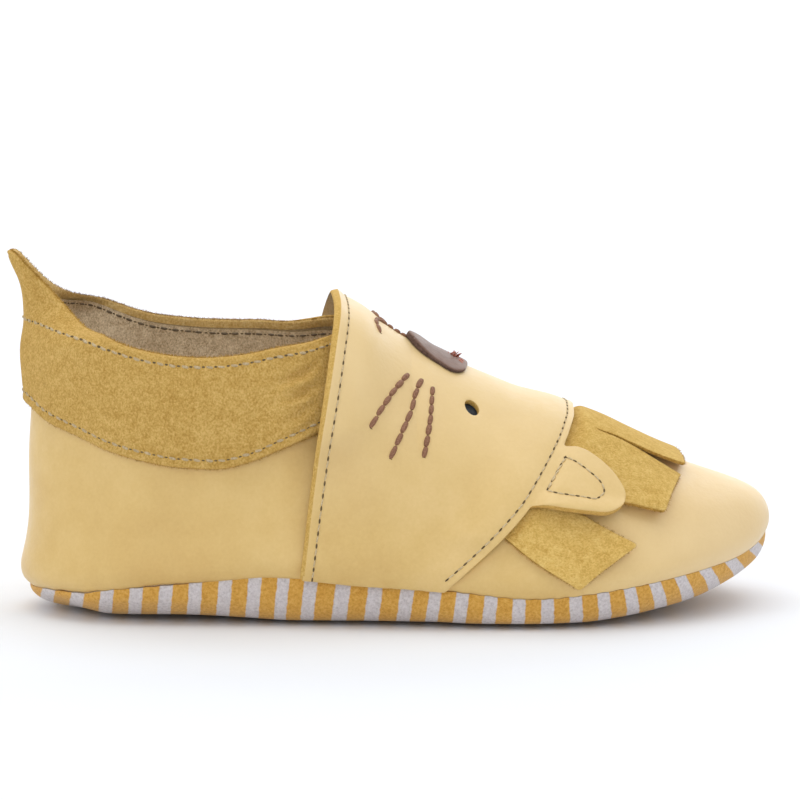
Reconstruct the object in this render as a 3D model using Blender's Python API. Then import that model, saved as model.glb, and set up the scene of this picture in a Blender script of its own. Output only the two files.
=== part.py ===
"""Soft-sole baby shoe, right foot, made as an assembly of closed pieces.

Frame: +X runs from heel to toe, +Y to the inner (medial) side, +Z up, floor at
z = 0. All tables and sizes below are in millimetres; meshes are in metres.
"""

import bmesh
import bpy
import numpy as np

for old in list(bpy.data.objects):
    bpy.data.objects.remove(old, do_unlink=True)

# ------------------------------------------------------------------ sizes (mm)
MM = 0.001
CENTRE_X, CENTRE_Y = -0.375, 0.168  # middle of the whole box, moved to the origin
GAP = 0.3  # air between neighbouring pieces
WALL = 1.4  # upper: leather and lining
PANEL = 1.2  # face panel
BAND = 1.2  # collar band
TAB = 1.1  # fringe tabs
TAB_ROOT = 0.5  # their skived roots
NOSE = 1.2  # nose
SOLE = 1.5  # outsole
INSOLE = 1.6  # inner sole
ROLL = 3.0  # height of the turned-in roll above the seam
RIM_STEP = 1.2  # the collar stands this far above the upper's rim
HEEL_RIM = 51.0  # rim of the upper at the heel, under the pull peak
TUCK_REAR = 4.0  # collar under the rear edge of the panel
TUCK_FRONT = 2.5  # fringe under the front edge of the panel
PANEL_FOOT = 0.6  # lower edge of the panel above the seam
EAR_LIFT = 0.2  # further rise of the ear towards its tip

# Each row is one section of the last. x_f, y_lat, y_med, z_f: the seam with the
# sole. x_t, y_t, z_t: the top line, which is the collar rim up to the throat row
# and the ridge of the vamp after it. lean: angle of the wall at the top line, 90
# where both sides meet level on the ridge. k_low, k_top: fullness of the wall at
# its foot and top. over: how far the roll overhangs the seam.
SECTION_COLUMNS = "x_f y_lat y_med z_f x_t y_t z_t lean k_low k_top over".split()
SECTIONS = [
    (-62.4, 0.0, 0.0, 3.5, -64.3, 0.0, 61.0, -28, 22.0, 9.0, 1.6),
    (-60.6, 8.0, 8.0, 3.8, -61.2, 6.3, 57.6, -20, 20.0, 9.0, 1.6),
    (-56.3, 14.0, 13.9, 4.3, -57.0, 12.2, 53.8, -10, 18.0, 10.0, 1.5),
    (-50.0, 18.4, 18.2, 5.2, -50.7, 17.2, 49.8, -2, 15.0, 11.0, 1.4),
    (-41.5, 21.4, 21.0, 6.3, -42.0, 20.6, 46.9, 4, 13.0, 12.0, 1.3),
    (-31.5, 22.8, 22.2, 7.5, -32.0, 21.8, 46.0, 8, 13.0, 12.0, 1.2),
    (-21.5, 23.6, 22.6, 8.4, -22.0, 19.6, 47.0, 16, 13.0, 11.0, 1.1),
    (-13.5, 24.5, 23.0, 8.1, -14.0, 14.6, 48.4, 34, 15.0, 9.0, 1.0),
    (-5.5, 25.6, 23.9, 7.7, -5.8, 8.2, 47.6, 62, 18.0, 10.0, 1.0),
    (4.0, 27.0, 25.3, 6.8, 2.5, 0.0, 44.4, 90, 20.0, 15.0, 1.0),
    (12.5, 28.2, 27.2, 5.7, 10.5, 0.0, 40.5, 90, 18.5, 16.0, 1.0),
    (21.5, 28.9, 28.6, 4.8, 18.8, 0.0, 36.9, 90, 17.0, 16.5, 0.9),
    (30.5, 28.5, 28.9, 5.3, 27.0, 0.0, 33.5, 90, 15.0, 16.0, 0.8),
    (39.0, 26.8, 28.2, 6.4, 35.0, 0.0, 30.7, 90, 13.0, 14.5, 0.8),
    (47.0, 23.0, 25.6, 7.9, 41.6, 0.0, 28.3, 90, 11.0, 12.5, 0.8),
    (54.0, 17.4, 21.0, 9.1, 46.2, 0.0, 26.5, 90, 9.5, 10.5, 0.8),
    (59.6, 10.8, 15.0, 10.3, 49.0, 0.0, 25.4, 90, 8.5, 9.7, 0.8),
    (63.1, 4.2, 8.8, 11.7, 50.4, 0.0, 24.85, 90, 8.0, 9.5, 0.8),
    (64.3, -2.3, 2.3, 12.5, 51.0, 0.0, 24.6, 90, 7.5, 9.5, 0.8),
]
THROAT_ROW = 9

# Sideways drift of the ridge towards the big toe.
DRIFT_COLUMNS = "x drift".split()
DRIFT = [(-64, 0.0), (0, 0.0), (30, 0.8), (50, 1.8), (64, 2.3)]

# Sole: how far the flat tread lies inside the seam, and its height (arch, toe spring).
TREAD_COLUMNS = "x inset z_b".split()
TREAD = [
    (-62.4, 7.6, 0.0),
    (-50.0, 6.6, 0.0),
    (-41.5, 5.8, 0.0),
    (-31.5, 5.2, 0.0),
    (-21.5, 4.4, 0.0),
    (-13.5, 4.2, 0.3),
    (-5.5, 4.4, 0.5),
    (4.0, 4.4, 0.3),
    (12.5, 3.4, 0.0),
    (21.5, 2.8, 0.0),
    (30.5, 3.6, 0.0),
    (39.0, 5.4, 0.4),
    (47.0, 6.2, 1.4),
    (54.0, 6.4, 2.8),
    (59.6, 6.2, 4.4),
    (63.1, 6.0, 5.5),
    (64.3, 6.0, 5.9),
]

# Ridge of the face panel behind the throat, where it stands free over the opening.
ARCH_COLUMNS = "x_f x_t z_t k_low k_top".split()
ARCH = [
    (-31.5, -30.5, 63.6, 36.0, 20.0),
    (-21.5, -20.5, 57.8, 34.0, 20.0),
    (-13.5, -12.6, 53.0, 31.0, 19.5),
    (-5.5, -4.8, 48.7, 27.0, 18.0),
    (4.0, 2.5, 44.4, 20.0, 15.0),
]

# Edges of the face panel: rear edge by height, front edge by girth fraction
# (0 at the sole seam, 1 on the ridge).
REAR_COLUMNS = "z x".split()
REAR_EDGE = [(6, -17.4), (22, -15.4), (40, -13.0), (47, -12.2), (54, -10.9)]
FRONT_COLUMNS = "rise x".split()
FRONT_EDGE = [
    (0.00, 7.0),
    (0.044, 9.6),
    (0.114, 13.1),
    (0.208, 17.3),
    (0.34, 21.9),
    (0.65, 27.9),
    (0.73, 28.8),
    (0.85, 29.8),
    (1.00, 30.2),
]

# Ear outline, from its upper root round the tip to its lower root.
EAR_COLUMNS = "x rise".split()
EAR = [
    (30.6, 0.585),
    (33.7, 0.53),
    (36.0, 0.46),
    (37.0, 0.395),
    (36.4, 0.345),
    (34.2, 0.312),
    (31.0, 0.312),
    (26.8, 0.318),
]
EAR_ROOT_RISE = (0.327, 0.605)

# Lower edge of the collar band, by length.
COLLAR_COLUMNS = "x z".split()
COLLAR_EDGE = [
    (-66, 36.4),
    (-62, 35.9),
    (-58.5, 33.7),
    (-53.5, 31.8),
    (-49, 30.0),
    (-43.5, 28.7),
    (-37, 27.6),
    (-31, 27.4),
    (-26, 28.3),
    (-19.4, 30.8),
    (-15.8, 32.1),
    (-12.4, 33.4),
    (-6, 35.4),
]

# Fringe tabs: corners as (length x, girth fraction); lift is the height of the
# free tip above its resting face, flat the share of the tab that stays down.
TAB_COLUMNS = "name side root_up root_low x_up rise_up x_low rise_low lift flat".split()
TABS = [
    ("mane_upper_outer", -1, 0.80, 0.475, 48.0, 0.72, 44.0, 0.35, 1.2, 0.5),
    ("mane_lower_outer", -1, 0.455, 0.21, 39.0, 0.20, 29.6, 0.055, 0.8, 0.5),
    ("mane_upper_inner", 1, 0.80, 0.475, 48.0, 0.72, 44.0, 0.35, 1.2, 0.5),
    ("mane_lower_inner", 1, 0.455, 0.21, 39.0, 0.20, 29.6, 0.055, 0.8, 0.5),
]
TOP_TAB_RISE_ROOT, TOP_TAB_RISE_TIP = 0.825, 0.80  # the middle tab spans the ridge
TOP_TAB_TIP_X, TOP_TAB_LIFT = 49.2, 1.6

# Nose outline, half: length against girth fraction.
NOSE_COLUMNS = "x rise".split()
NOSE_HALF = [(1.2, 1.0), (2.2, 0.93), (3.8, 0.875), (6.7, 0.845), (9.0, 0.832), (10.7, 0.865), (11.6, 0.93), (11.9, 1.0)]
NOSE_MIDDLE = 7.4

COLOURS = {
    "leather": ((0.74, 0.55, 0.27), 0.5),
    "suede": ((0.64, 0.42, 0.11), 0.9),
    "sole_suede": ((0.60, 0.42, 0.20), 0.95),
    "inner_suede": ((0.30, 0.24, 0.17), 0.95),
    "nose_leather": ((0.18, 0.10, 0.08), 0.6),
}


# -------------------------------------------------------------- interpolation
def columns(names, rows):
    data = np.array(rows, float)
    return {name: data[:, i] for i, name in enumerate(names)}


def flow(xk, yk, x):
    """Monotone cubic through a table, level outside it."""
    xk, yk = np.asarray(xk, float), np.asarray(yk, float)
    x = np.clip(np.asarray(x, float), xk[0] - 4, xk[-1] + 4)
    h = np.diff(xk)
    d = np.diff(yk) / h
    m = np.zeros_like(yk)
    for i in range(1, len(xk) - 1):
        if d[i - 1] * d[i] > 0:
            w1, w2 = 2 * h[i] + h[i - 1], h[i] + 2 * h[i - 1]
            m[i] = (w1 + w2) / (w1 / d[i - 1] + w2 / d[i])
    m[0], m[-1] = d[0], d[-1]
    j = np.clip(np.searchsorted(xk, x) - 1, 0, len(h) - 1)
    u = (x - xk[j]) / h[j]
    return (
        (1 + 2 * u) * (1 - u) ** 2 * yk[j]
        + u * (1 - u) ** 2 * h[j] * m[j]
        + u * u * (3 - 2 * u) * yk[j + 1]
        + u * u * (u - 1) * h[j] * m[j + 1]
    )


def ease(u):
    u = np.clip(u, 0, 1)
    return u * u * (3 - 2 * u)


class Loop:
    """Cubic spline through a closed loop of values."""

    def __init__(self, knots, values):
        self.k, v = np.asarray(knots, float), np.asarray(values, float)
        n, self.h = len(v), np.diff(self.k)
        a, r = np.zeros((n, n)), np.zeros(n)
        for i in range(n):
            hm, hp = self.h[i - 1], self.h[i]
            a[i, i - 1] += hm
            a[i, i] += 2 * (hm + hp)
            a[i, (i + 1) % n] += hp
            r[i] = 6 * ((v[(i + 1) % n] - v[i]) / hp - (v[i] - v[i - 1]) / hm)
        m = np.linalg.solve(a, r)
        self.v, self.m = np.append(v, v[0]), np.append(m, m[0])

    def __call__(self, q):
        k0, k1 = self.k[0], self.k[-1]
        q = (np.asarray(q, float) - k0) % (k1 - k0) + k0
        j = np.clip(np.searchsorted(self.k, q, side="right") - 1, 0, len(self.h) - 1)
        h = self.h[j]
        a, b = (self.k[j + 1] - q) / h, (q - self.k[j]) / h
        return a * self.v[j] + b * self.v[j + 1] + ((a**3 - a) * self.m[j] + (b**3 - b) * self.m[j + 1]) * h * h / 6


# ------------------------------------------------------------- form of the last
SEC = columns(SECTION_COLUMNS, SECTIONS)
lat_step = np.hypot(np.diff(SEC["x_f"]), np.diff(SEC["y_lat"]))
med_step = np.hypot(np.diff(SEC["x_f"]), np.diff(SEC["y_med"]))
KNOTS = np.concatenate([[0], np.cumsum((lat_step + med_step) / 2)])
LENGTH = KNOTS[-1]
LOOP_KNOTS = np.concatenate([KNOTS, 2 * LENGTH - KNOTS[-2::-1]])


def both(lat, med):
    return Loop(LOOP_KNOTS, np.concatenate([lat, med[-2:0:-1]]))


SPLINE = {"x": both(SEC["x_f"], SEC["x_f"]), "y": both(-SEC["y_lat"], SEC["y_med"])}
for name in ("z_f", "x_t", "z_t", "k_low", "k_top", "over"):
    SPLINE[name] = both(SEC[name], SEC[name])
DRF, TRD, ARC = columns(DRIFT_COLUMNS, DRIFT), columns(TREAD_COLUMNS, TREAD), columns(ARCH_COLUMNS, ARCH)
REAR, FRONT = columns(REAR_COLUMNS, REAR_EDGE), columns(FRONT_COLUMNS, FRONT_EDGE)
COL, NSE = columns(COLLAR_COLUMNS, COLLAR_EDGE), columns(NOSE_COLUMNS, NOSE_HALF)
ARCH_KNOTS = np.interp(ARC["x_f"], SEC["x_f"], KNOTS)
TREAD_KNOTS = np.interp(TRD["x"], SEC["x_f"], KNOTS)


def stack(*parts):
    return np.stack(np.broadcast_arrays(*parts), -1)


def seam(side, s):
    """Seam point and outward direction in plan; side -1 outer, +1 inner."""
    q = np.where(np.asarray(side) < 0, s, 2 * LENGTH - np.asarray(s))
    e = 0.05
    dx, dy = SPLINE["x"](q + e) - SPLINE["x"](q - e), SPLINE["y"](q + e) - SPLINE["y"](q - e)
    run = np.hypot(dx, dy)
    return q, SPLINE["x"](q), SPLINE["y"](q), SPLINE["z_f"](q), dy / run, -dx / run


def ridge_slope(s):
    a = np.clip(s - 0.4, KNOTS[THROAT_ROW], LENGTH)
    b = np.clip(s + 0.4, KNOTS[THROAT_ROW] + 0.8, LENGTH)
    dx, dz = SPLINE["x_t"](b) - SPLINE["x_t"](a), SPLINE["z_t"](b) - SPLINE["z_t"](a)
    safe = np.abs(dx) > 1e-6
    return np.clip(np.where(safe, dz / np.where(safe, dx, 1), -0.4), -0.7, -0.2)


def skin(side, s, t, arch=False):
    """Point of the upper's outer face; t runs from the seam (0) to the top line (1).
    With arch, the wall carries on over the throat as the face panel does."""
    side, s, t = np.broadcast_arrays(np.asarray(side, float), np.asarray(s, float), np.asarray(t, float))
    q, x, y, z, nx, ny = seam(side, s)
    x_t, z_t = SPLINE["x_t"](q), SPLINE["z_t"](q)
    y_t = flow(KNOTS, SEC["y_t"], s)
    lean, k_low, k_top = flow(KNOTS, SEC["lean"], s), SPLINE["k_low"](q), SPLINE["k_top"](q)
    slope = ridge_slope(s)
    if arch:
        free = s < KNOTS[THROAT_ROW]
        x_t = np.where(free, flow(ARCH_KNOTS, ARC["x_t"], s), x_t)
        z_t = np.where(free, flow(ARCH_KNOTS, ARC["z_t"], s), z_t)
        k_low = np.where(free, flow(ARCH_KNOTS, ARC["k_low"], s), k_low)
        k_top = np.where(free, flow(ARCH_KNOTS, ARC["k_top"], s), k_top)
        y_t, lean = np.where(free, 0, y_t), np.where(free, 90, lean)
        slope = np.where(free, -0.56, slope)
    y_t = side * y_t + np.interp(x_t, DRF["x"], DRF["drift"])
    sn, cs = np.sin(np.radians(lean)), np.cos(np.radians(lean))
    foot, head = stack(x, y, z), stack(x_t, y_t, z_t)
    low = foot + stack(0 * k_low, 0 * k_low, k_low)
    high = head + stack(sn * nx, sn * ny, sn * nx * slope - cs) * k_top[..., None]
    a, b = (1 - t)[..., None], t[..., None]
    p = a**3 * foot + 3 * a * a * b * low + 3 * a * b * b * high + b**3 * head
    u = np.maximum(p[..., 2] - z, 0) / ROLL
    roll = SPLINE["over"](q) * u * np.exp(1 - u)
    return p + stack(nx * roll, ny * roll, 0 * roll)


def face(side, s, t, arch=False):
    """Point and outward normal."""
    side, s, t = np.broadcast_arrays(np.asarray(side, float), np.asarray(s, float), np.asarray(t, float))
    along = skin(side, s + 0.05, t, arch) - skin(side, s - 0.05, t, arch)
    up = skin(side, s, t + 0.004, arch) - skin(side, s, np.maximum(t - 0.004, 0), arch)
    n = np.cross(along, up) * (-side)[..., None]
    return skin(side, s, t, arch), n / np.maximum(np.linalg.norm(n, axis=-1, keepdims=True), 1e-12)


def off(side, s, t, d, arch=False):
    p, n = face(side, s, t, arch)
    return p + n * np.asarray(d, float)[..., None]


def solve(low, high, value):
    """Bisection for a rising function of one unknown, on arrays."""
    low, high = np.array(low, float), np.array(high, float)
    for _ in range(26):
        mid = (low + high) / 2
        less = value(mid) < 0
        low, high = np.where(less, mid, low), np.where(less, high, mid)
    return (low + high) / 2


def s_at(side, x, t, arch=False):
    side, x, t = np.broadcast_arrays(np.asarray(side, float), np.asarray(x, float), np.asarray(t, float))
    return solve(np.full(x.shape, 0.0), np.full(x.shape, LENGTH), lambda s: skin(side, s, t, arch)[..., 0] - x)


def t_at_height(side, s, z):
    side, s, z = np.broadcast_arrays(np.asarray(side, float), np.asarray(s, float), np.asarray(z, float))
    return solve(np.zeros(s.shape), np.ones(s.shape), lambda t: skin(side, s, t)[..., 2] - z)


def stations(first, last, per_row):
    """Positions along the seam from one section row to another."""
    out = [KNOTS[first]]
    for i in range(first, last):
        out += list(KNOTS[i] + (KNOTS[i + 1] - KNOTS[i]) * (np.arange(per_row) + 1) / per_row)
    return np.array(out)


# ------------------------------------------------------------------ mesh tools
class Solid:
    """Collects shared points and faces of one closed piece."""

    def __init__(self):
        self.points, self.faces, self.index = [], [], {}

    def at(self, key, p):
        if key not in self.index:
            self.index[key] = len(self.points)
            self.points.append(tuple(float(v) for v in p))
        return self.index[key]

    def add(self, *ids):
        ids = [v for i, v in enumerate(ids) if v != ids[i - 1]]
        if len(set(ids)) > 2:
            self.faces.append(tuple(ids))

    def strip(self, a, b):
        for i in range(len(a) - 1):
            self.add(a[i], a[i + 1], b[i + 1], b[i])


def make(name, solid, colour):
    shifted = [((x - CENTRE_X) * MM, (y - CENTRE_Y) * MM, z * MM) for x, y, z in solid.points]
    mesh = bpy.data.meshes.new(name)
    mesh.from_pydata(shifted, [], solid.faces)
    mesh.validate()
    mesh.update()
    bm = bmesh.new()
    bm.from_mesh(mesh)
    bmesh.ops.triangulate(bm, faces=bm.faces[:])
    bmesh.ops.recalc_face_normals(bm, faces=bm.faces[:])
    if bm.calc_volume(signed=True) < 0:
        bmesh.ops.reverse_faces(bm, faces=bm.faces[:])
    bm.to_mesh(mesh)
    bm.free()
    mesh.shade_smooth()
    mesh.set_sharp_from_angle(angle=np.radians(50))
    rgb, rough = COLOURS[colour]
    material = bpy.data.materials.get(colour) or bpy.data.materials.new(colour)
    material.use_nodes = True
    shader = material.node_tree.nodes["Principled BSDF"]
    shader.inputs["Base Color"].default_value = (*rgb, 1)
    shader.inputs["Roughness"].default_value = rough
    shader.inputs["Metallic"].default_value = 0
    mesh.materials.append(material)
    piece = bpy.data.objects.new(name, mesh)
    bpy.context.scene.collection.objects.link(piece)
    return piece


def sheet(inner, outer, name, colour):
    """Closed piece between two grids of points with the same rows and columns."""
    solid = Solid()
    rows, cols = inner.shape[:2]
    low = [[solid.at(("a", i, j), inner[i, j]) for j in range(cols)] for i in range(rows)]
    top = [[solid.at(("b", i, j), outer[i, j]) for j in range(cols)] for i in range(rows)]
    for i in range(rows - 1):
        solid.strip(low[i], low[i + 1])
        solid.strip(top[i + 1], top[i])
    solid.strip(top[0], low[0])
    solid.strip(low[-1], top[-1])
    solid.strip([r[0] for r in low], [r[0] for r in top])
    solid.strip([r[-1] for r in top], [r[-1] for r in low])
    return make(name, solid, colour)


# ----------------------------------------------------------------------- upper
def rim_t(side, s):
    """Girth fraction of the upper's own rim, a step below the collar's edge."""
    top = skin(side, s, 1.0)[..., 2]
    t = t_at_height(side, s, np.minimum(top - RIM_STEP, HEEL_RIM))
    return np.where(s > KNOTS[THROAT_ROW] - 1e-6, 1.0, t)


def build_upper(per_row=2, rows=12):
    s = stations(0, len(SECTIONS) - 1, per_row)
    last, throat = len(s) - 1, THROAT_ROW * per_row
    solid, share = Solid(), (np.arange(rows + 1) / rows) ** 1.35
    ids = {}
    for side in (-1, 1):
        t_top = rim_t(side, s)
        for j in range(last + 1):
            p, n = face(side, s[j], share * t_top[j])
            if j >= throat:
                n2 = face(-side, s[j], np.array([1.0]))[1][0]
                n[-1] = (n[-1] + n2) / np.linalg.norm(n[-1] + n2)
            for i in range(rows + 1):
                own = 0 if j in (0, last) or (i == rows and j >= throat) else side
                ids[side, j, i, 1] = solid.at((own, j, i, 1), p[i])
                ids[side, j, i, 0] = solid.at((own, j, i, 0), p[i] - WALL * n[i])
    for side in (-1, 1):
        for j in range(last):
            for k in (0, 1):
                a = [ids[side, j, i, k] for i in range(rows + 1)]
                b = [ids[side, j + 1, i, k] for i in range(rows + 1)]
                solid.strip(a, b) if (side < 0) == (k == 1) else solid.strip(b, a)
            for i in (0, rows):
                if i == rows and j >= throat:
                    continue
                edge = [ids[side, j, i, 1], ids[side, j + 1, i, 1], ids[side, j + 1, i, 0], ids[side, j, i, 0]]
                solid.add(*edge)
    return make("upper", solid, "leather")


# ------------------------------------------------------------- sole and insole
def tread(side, s):
    """Edge of the flat tread under station s, its slope and the outward direction."""
    q, x, y, z, nx, ny = seam(side, s)
    inset, z_b = flow(TREAD_KNOTS, TRD["inset"], s), np.maximum(flow(TREAD_KNOTS, TRD["z_b"], s), 0)
    rise = np.clip((flow(TREAD_KNOTS, TRD["z_b"], s + 1) - flow(TREAD_KNOTS, TRD["z_b"], s - 1)) / 2, 0, 0.6)
    return stack(x - nx * inset, y - ny * inset, z_b), rise, stack(nx, ny, 0 * nx), inset, stack(x, y, z)


def dish(side, s, u, inward):
    """Side of the sole from the tread edge (u 0) up to the seam (u 1), moved inward."""

    def curve(v):
        b, rise, n, inset, f = tread(side, s)
        v = np.asarray(v, float)[..., None]
        f = f - np.array([0, 0, GAP])
        up = np.array([0, 0, 1.0])
        one = b + n * 0.62 * inset[..., None] + up * (0.5 * inset * rise * np.maximum(n[..., 0], 0))[..., None]
        two = f - up * 0.5 * (f[..., 2:] - b[..., 2:]) + n * 0.25
        return (1 - v) ** 3 * b + 3 * (1 - v) ** 2 * v * one + 3 * (1 - v) * v * v * two + v**3 * f

    p = curve(u)
    d = curve(np.minimum(u + 0.01, 1)) - curve(np.maximum(u - 0.01, 0))
    n = tread(side, s)[2]
    out = (d * n).sum(-1)
    run = np.maximum(np.hypot(out, d[..., 2]), 1e-9)
    normal = n * (d[..., 2] / run)[..., None] - np.array([0, 0, 1.0]) * (out / run)[..., None]
    flat = np.where(np.asarray(u) < 1e-6, 1.0, 0.0)[..., None]
    normal = normal * (1 - flat) + flat * np.array([0, 0, -1.0])
    return p - normal * inward


def rows_across(solid, key, left, right, count):
    """A grid across the shoe between two edges; end stations are single points."""
    table = []
    for j in range(len(left)):
        if j in (0, len(left) - 1):
            table.append([solid.at((key, 0, j, 0), left[j])] * (count + 1))
            continue
        row = []
        for k in range(count + 1):
            own = (key, -1, j, 0) if k == 0 else (key, 1, j, 0) if k == count else (key, 2, j, k)
            row.append(solid.at(own, left[j] + (right[j] - left[j]) * k / count))
        table.append(row)
    for j in range(len(table) - 1):
        solid.strip(table[j], table[j + 1])


def build_sole(per_row=2, steps=5, across=4):
    s = stations(0, len(SECTIONS) - 1, per_row)
    solid, last = Solid(), len(s) - 1
    edge = {}
    for side in (-1, 1):
        ring = []
        for j in range(last + 1):
            own = 0 if j in (0, last) else side
            col = []
            for k in range(steps + 1):
                p = dish(side, s[j], k / steps, 0.0)
                key = ("under", own, j, 0) if k == 0 else ("out", own, j, k)
                col.append(solid.at(key, p))
            for k in range(steps, -1, -1):
                p = dish(side, s[j], k / steps, SOLE)
                key = ("floor", own, j, 0) if k == 0 else ("in", own, j, k)
                col.append(solid.at(key, p))
            ring.append(col)
        for j in range(last):
            solid.strip(ring[j], ring[j + 1]) if side < 0 else solid.strip(ring[j + 1], ring[j])
        edge[side] = (dish(side, s, np.zeros(len(s)), 0.0), dish(side, s, np.zeros(len(s)), SOLE))
    rows_across(solid, "under", edge[-1][0], edge[1][0], across)
    rows_across(solid, "floor", edge[-1][1], edge[1][1], across)
    return make("sole", solid, "sole_suede")


def build_insole(per_row=2, across=4):
    s = stations(0, len(SECTIONS) - 1, per_row)
    solid, last = Solid(), len(s) - 1
    low, top = {}, {}
    for side in (-1, 1):
        base = dish(side, s, np.zeros(len(s)), SOLE + GAP)
        level = base[:, 2] + INSOLE
        u = solve(np.zeros(len(s)), np.full(len(s), 0.9), lambda v: dish(side, s, v, SOLE + GAP)[:, 2] - level + 0.5)
        u = np.minimum(u, 0.62)
        ring = []
        n = tread(side, s)[2]
        mids = [dish(side, s, u * f, SOLE + GAP) for f in (0.5, 1.0)]
        rim = mids[1] - n * 0.35
        rim[:, 2] = np.maximum(level, mids[1][:, 2] + 0.3)
        for j in range(last + 1):
            own = 0 if j in (0, last) else side
            ring.append([
                solid.at(("low", own, j, 0), base[j]),
                solid.at(("mid", own, j, 0), mids[0][j]),
                solid.at(("mid", own, j, 1), mids[1][j]),
                solid.at(("top", own, j, 0), rim[j]),
            ])
        for j in range(last):
            solid.strip(ring[j], ring[j + 1]) if side < 0 else solid.strip(ring[j + 1], ring[j])
        low[side], top[side] = base, rim
    rows_across(solid, "low", low[-1], low[1], across)
    rows_across(solid, "top", top[-1], top[1], across)
    return make("insole", solid, "inner_suede")


# ---------------------------------------------------------------------- collar
def collar_end(side, t):
    """Station where the collar stops, tucked under the rear edge of the panel."""
    t = np.asarray(t, float)
    return solve(
        np.full(t.shape, KNOTS[5]),
        np.full(t.shape, KNOTS[THROAT_ROW]),
        lambda s: skin(side, s, t)[..., 0] - TUCK_REAR - flow(REAR["z"], REAR["x"], skin(side, s, t)[..., 2]),
    )


def collar_foot(side, s):
    return solve(
        np.zeros(np.shape(s)),
        np.ones(np.shape(s)),
        lambda t: skin(side, s, t)[..., 2] - flow(COL["x"], COL["z"], skin(side, s, t)[..., 0]),
    )


def build_collar(per_side=24, rows=6):
    inner, outer = [], []
    for side, share in [(-1, v) for v in np.linspace(1, 0, per_side + 1)] + [(1, v) for v in np.linspace(0, 1, per_side + 1)[1:]]:
        t = np.linspace(0, 1, rows + 1)
        for _ in range(4):
            s = share * collar_end(side, t)
            t = collar_foot(side, s) * (1 - np.linspace(0, 1, rows + 1)) + np.linspace(0, 1, rows + 1)
        inner.append(off(side, s, t, np.full(rows + 1, GAP)))
        outer.append(off(side, s, t, np.full(rows + 1, GAP + BAND)))
    return sheet(np.array(inner), np.array(outer), "collar", "suede")


# ------------------------------------------------------------------ face panel
def panel_rear(side, t):
    t = np.asarray(t, float)
    return solve(
        np.full(t.shape, KNOTS[5]),
        np.full(t.shape, KNOTS[THROAT_ROW]),
        lambda s: skin(side, s, t, True)[..., 0] - flow(REAR["z"], REAR["x"], skin(side, s, t, True)[..., 2]),
    )


def panel_front(side, t):
    return s_at(side, flow(FRONT["rise"], FRONT["x"], t), t, True)


def panel_lift(side, s, t):
    """Height of the panel's inner face over the upper: flat in the middle, raised over
    the collar behind and over the roots of the fringe in front."""
    p = skin(side, s, t, True)
    behind = p[..., 0] - flow(REAR["z"], REAR["x"], p[..., 2])
    before = flow(FRONT["rise"], FRONT["x"], t) - p[..., 0]
    over_collar = (1 - ease((behind - TUCK_REAR - 1.5) / 6)) * ease((p[..., 2] - flow(COL["x"], COL["z"], p[..., 0]) + 3.5) / 3)
    over_roots = (1 - ease((before - TUCK_FRONT - 1.0) / 6)) * ease((t - 0.13) / 0.06)
    return GAP + (BAND + GAP) * over_collar + (TAB_ROOT + GAP) * over_roots


def ear_outline(count):
    """Points round the ear from the lower root to the upper root, by length and girth."""
    rows = EAR[::-1]
    lo, hi = EAR_ROOT_RISE
    ends = [(float(flow(FRONT["rise"], FRONT["x"], lo)), lo), (float(flow(FRONT["rise"], FRONT["x"], hi)), hi)]
    pts = np.array([ends[0], *rows, ends[1]], float)
    run = np.concatenate([[0], np.cumsum(np.hypot(np.diff(pts[:, 0]), np.diff(pts[:, 1]) * 40))])
    at = np.linspace(0, run[-1], count)
    return flow(run, pts[:, 0], at), flow(run, pts[:, 1], at)


def panel_rows():
    """Girth fractions of the panel's rows from the seam to the ridge, with rows on both ear roots."""
    lo, hi = EAR_ROOT_RISE
    below = lo * (np.arange(8) / 8) ** 1.3
    ear = np.linspace(lo, hi, 8)
    above = np.linspace(hi, 1.0, 6)
    return np.concatenate([below, ear, above[1:]]), 8, 15


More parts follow.
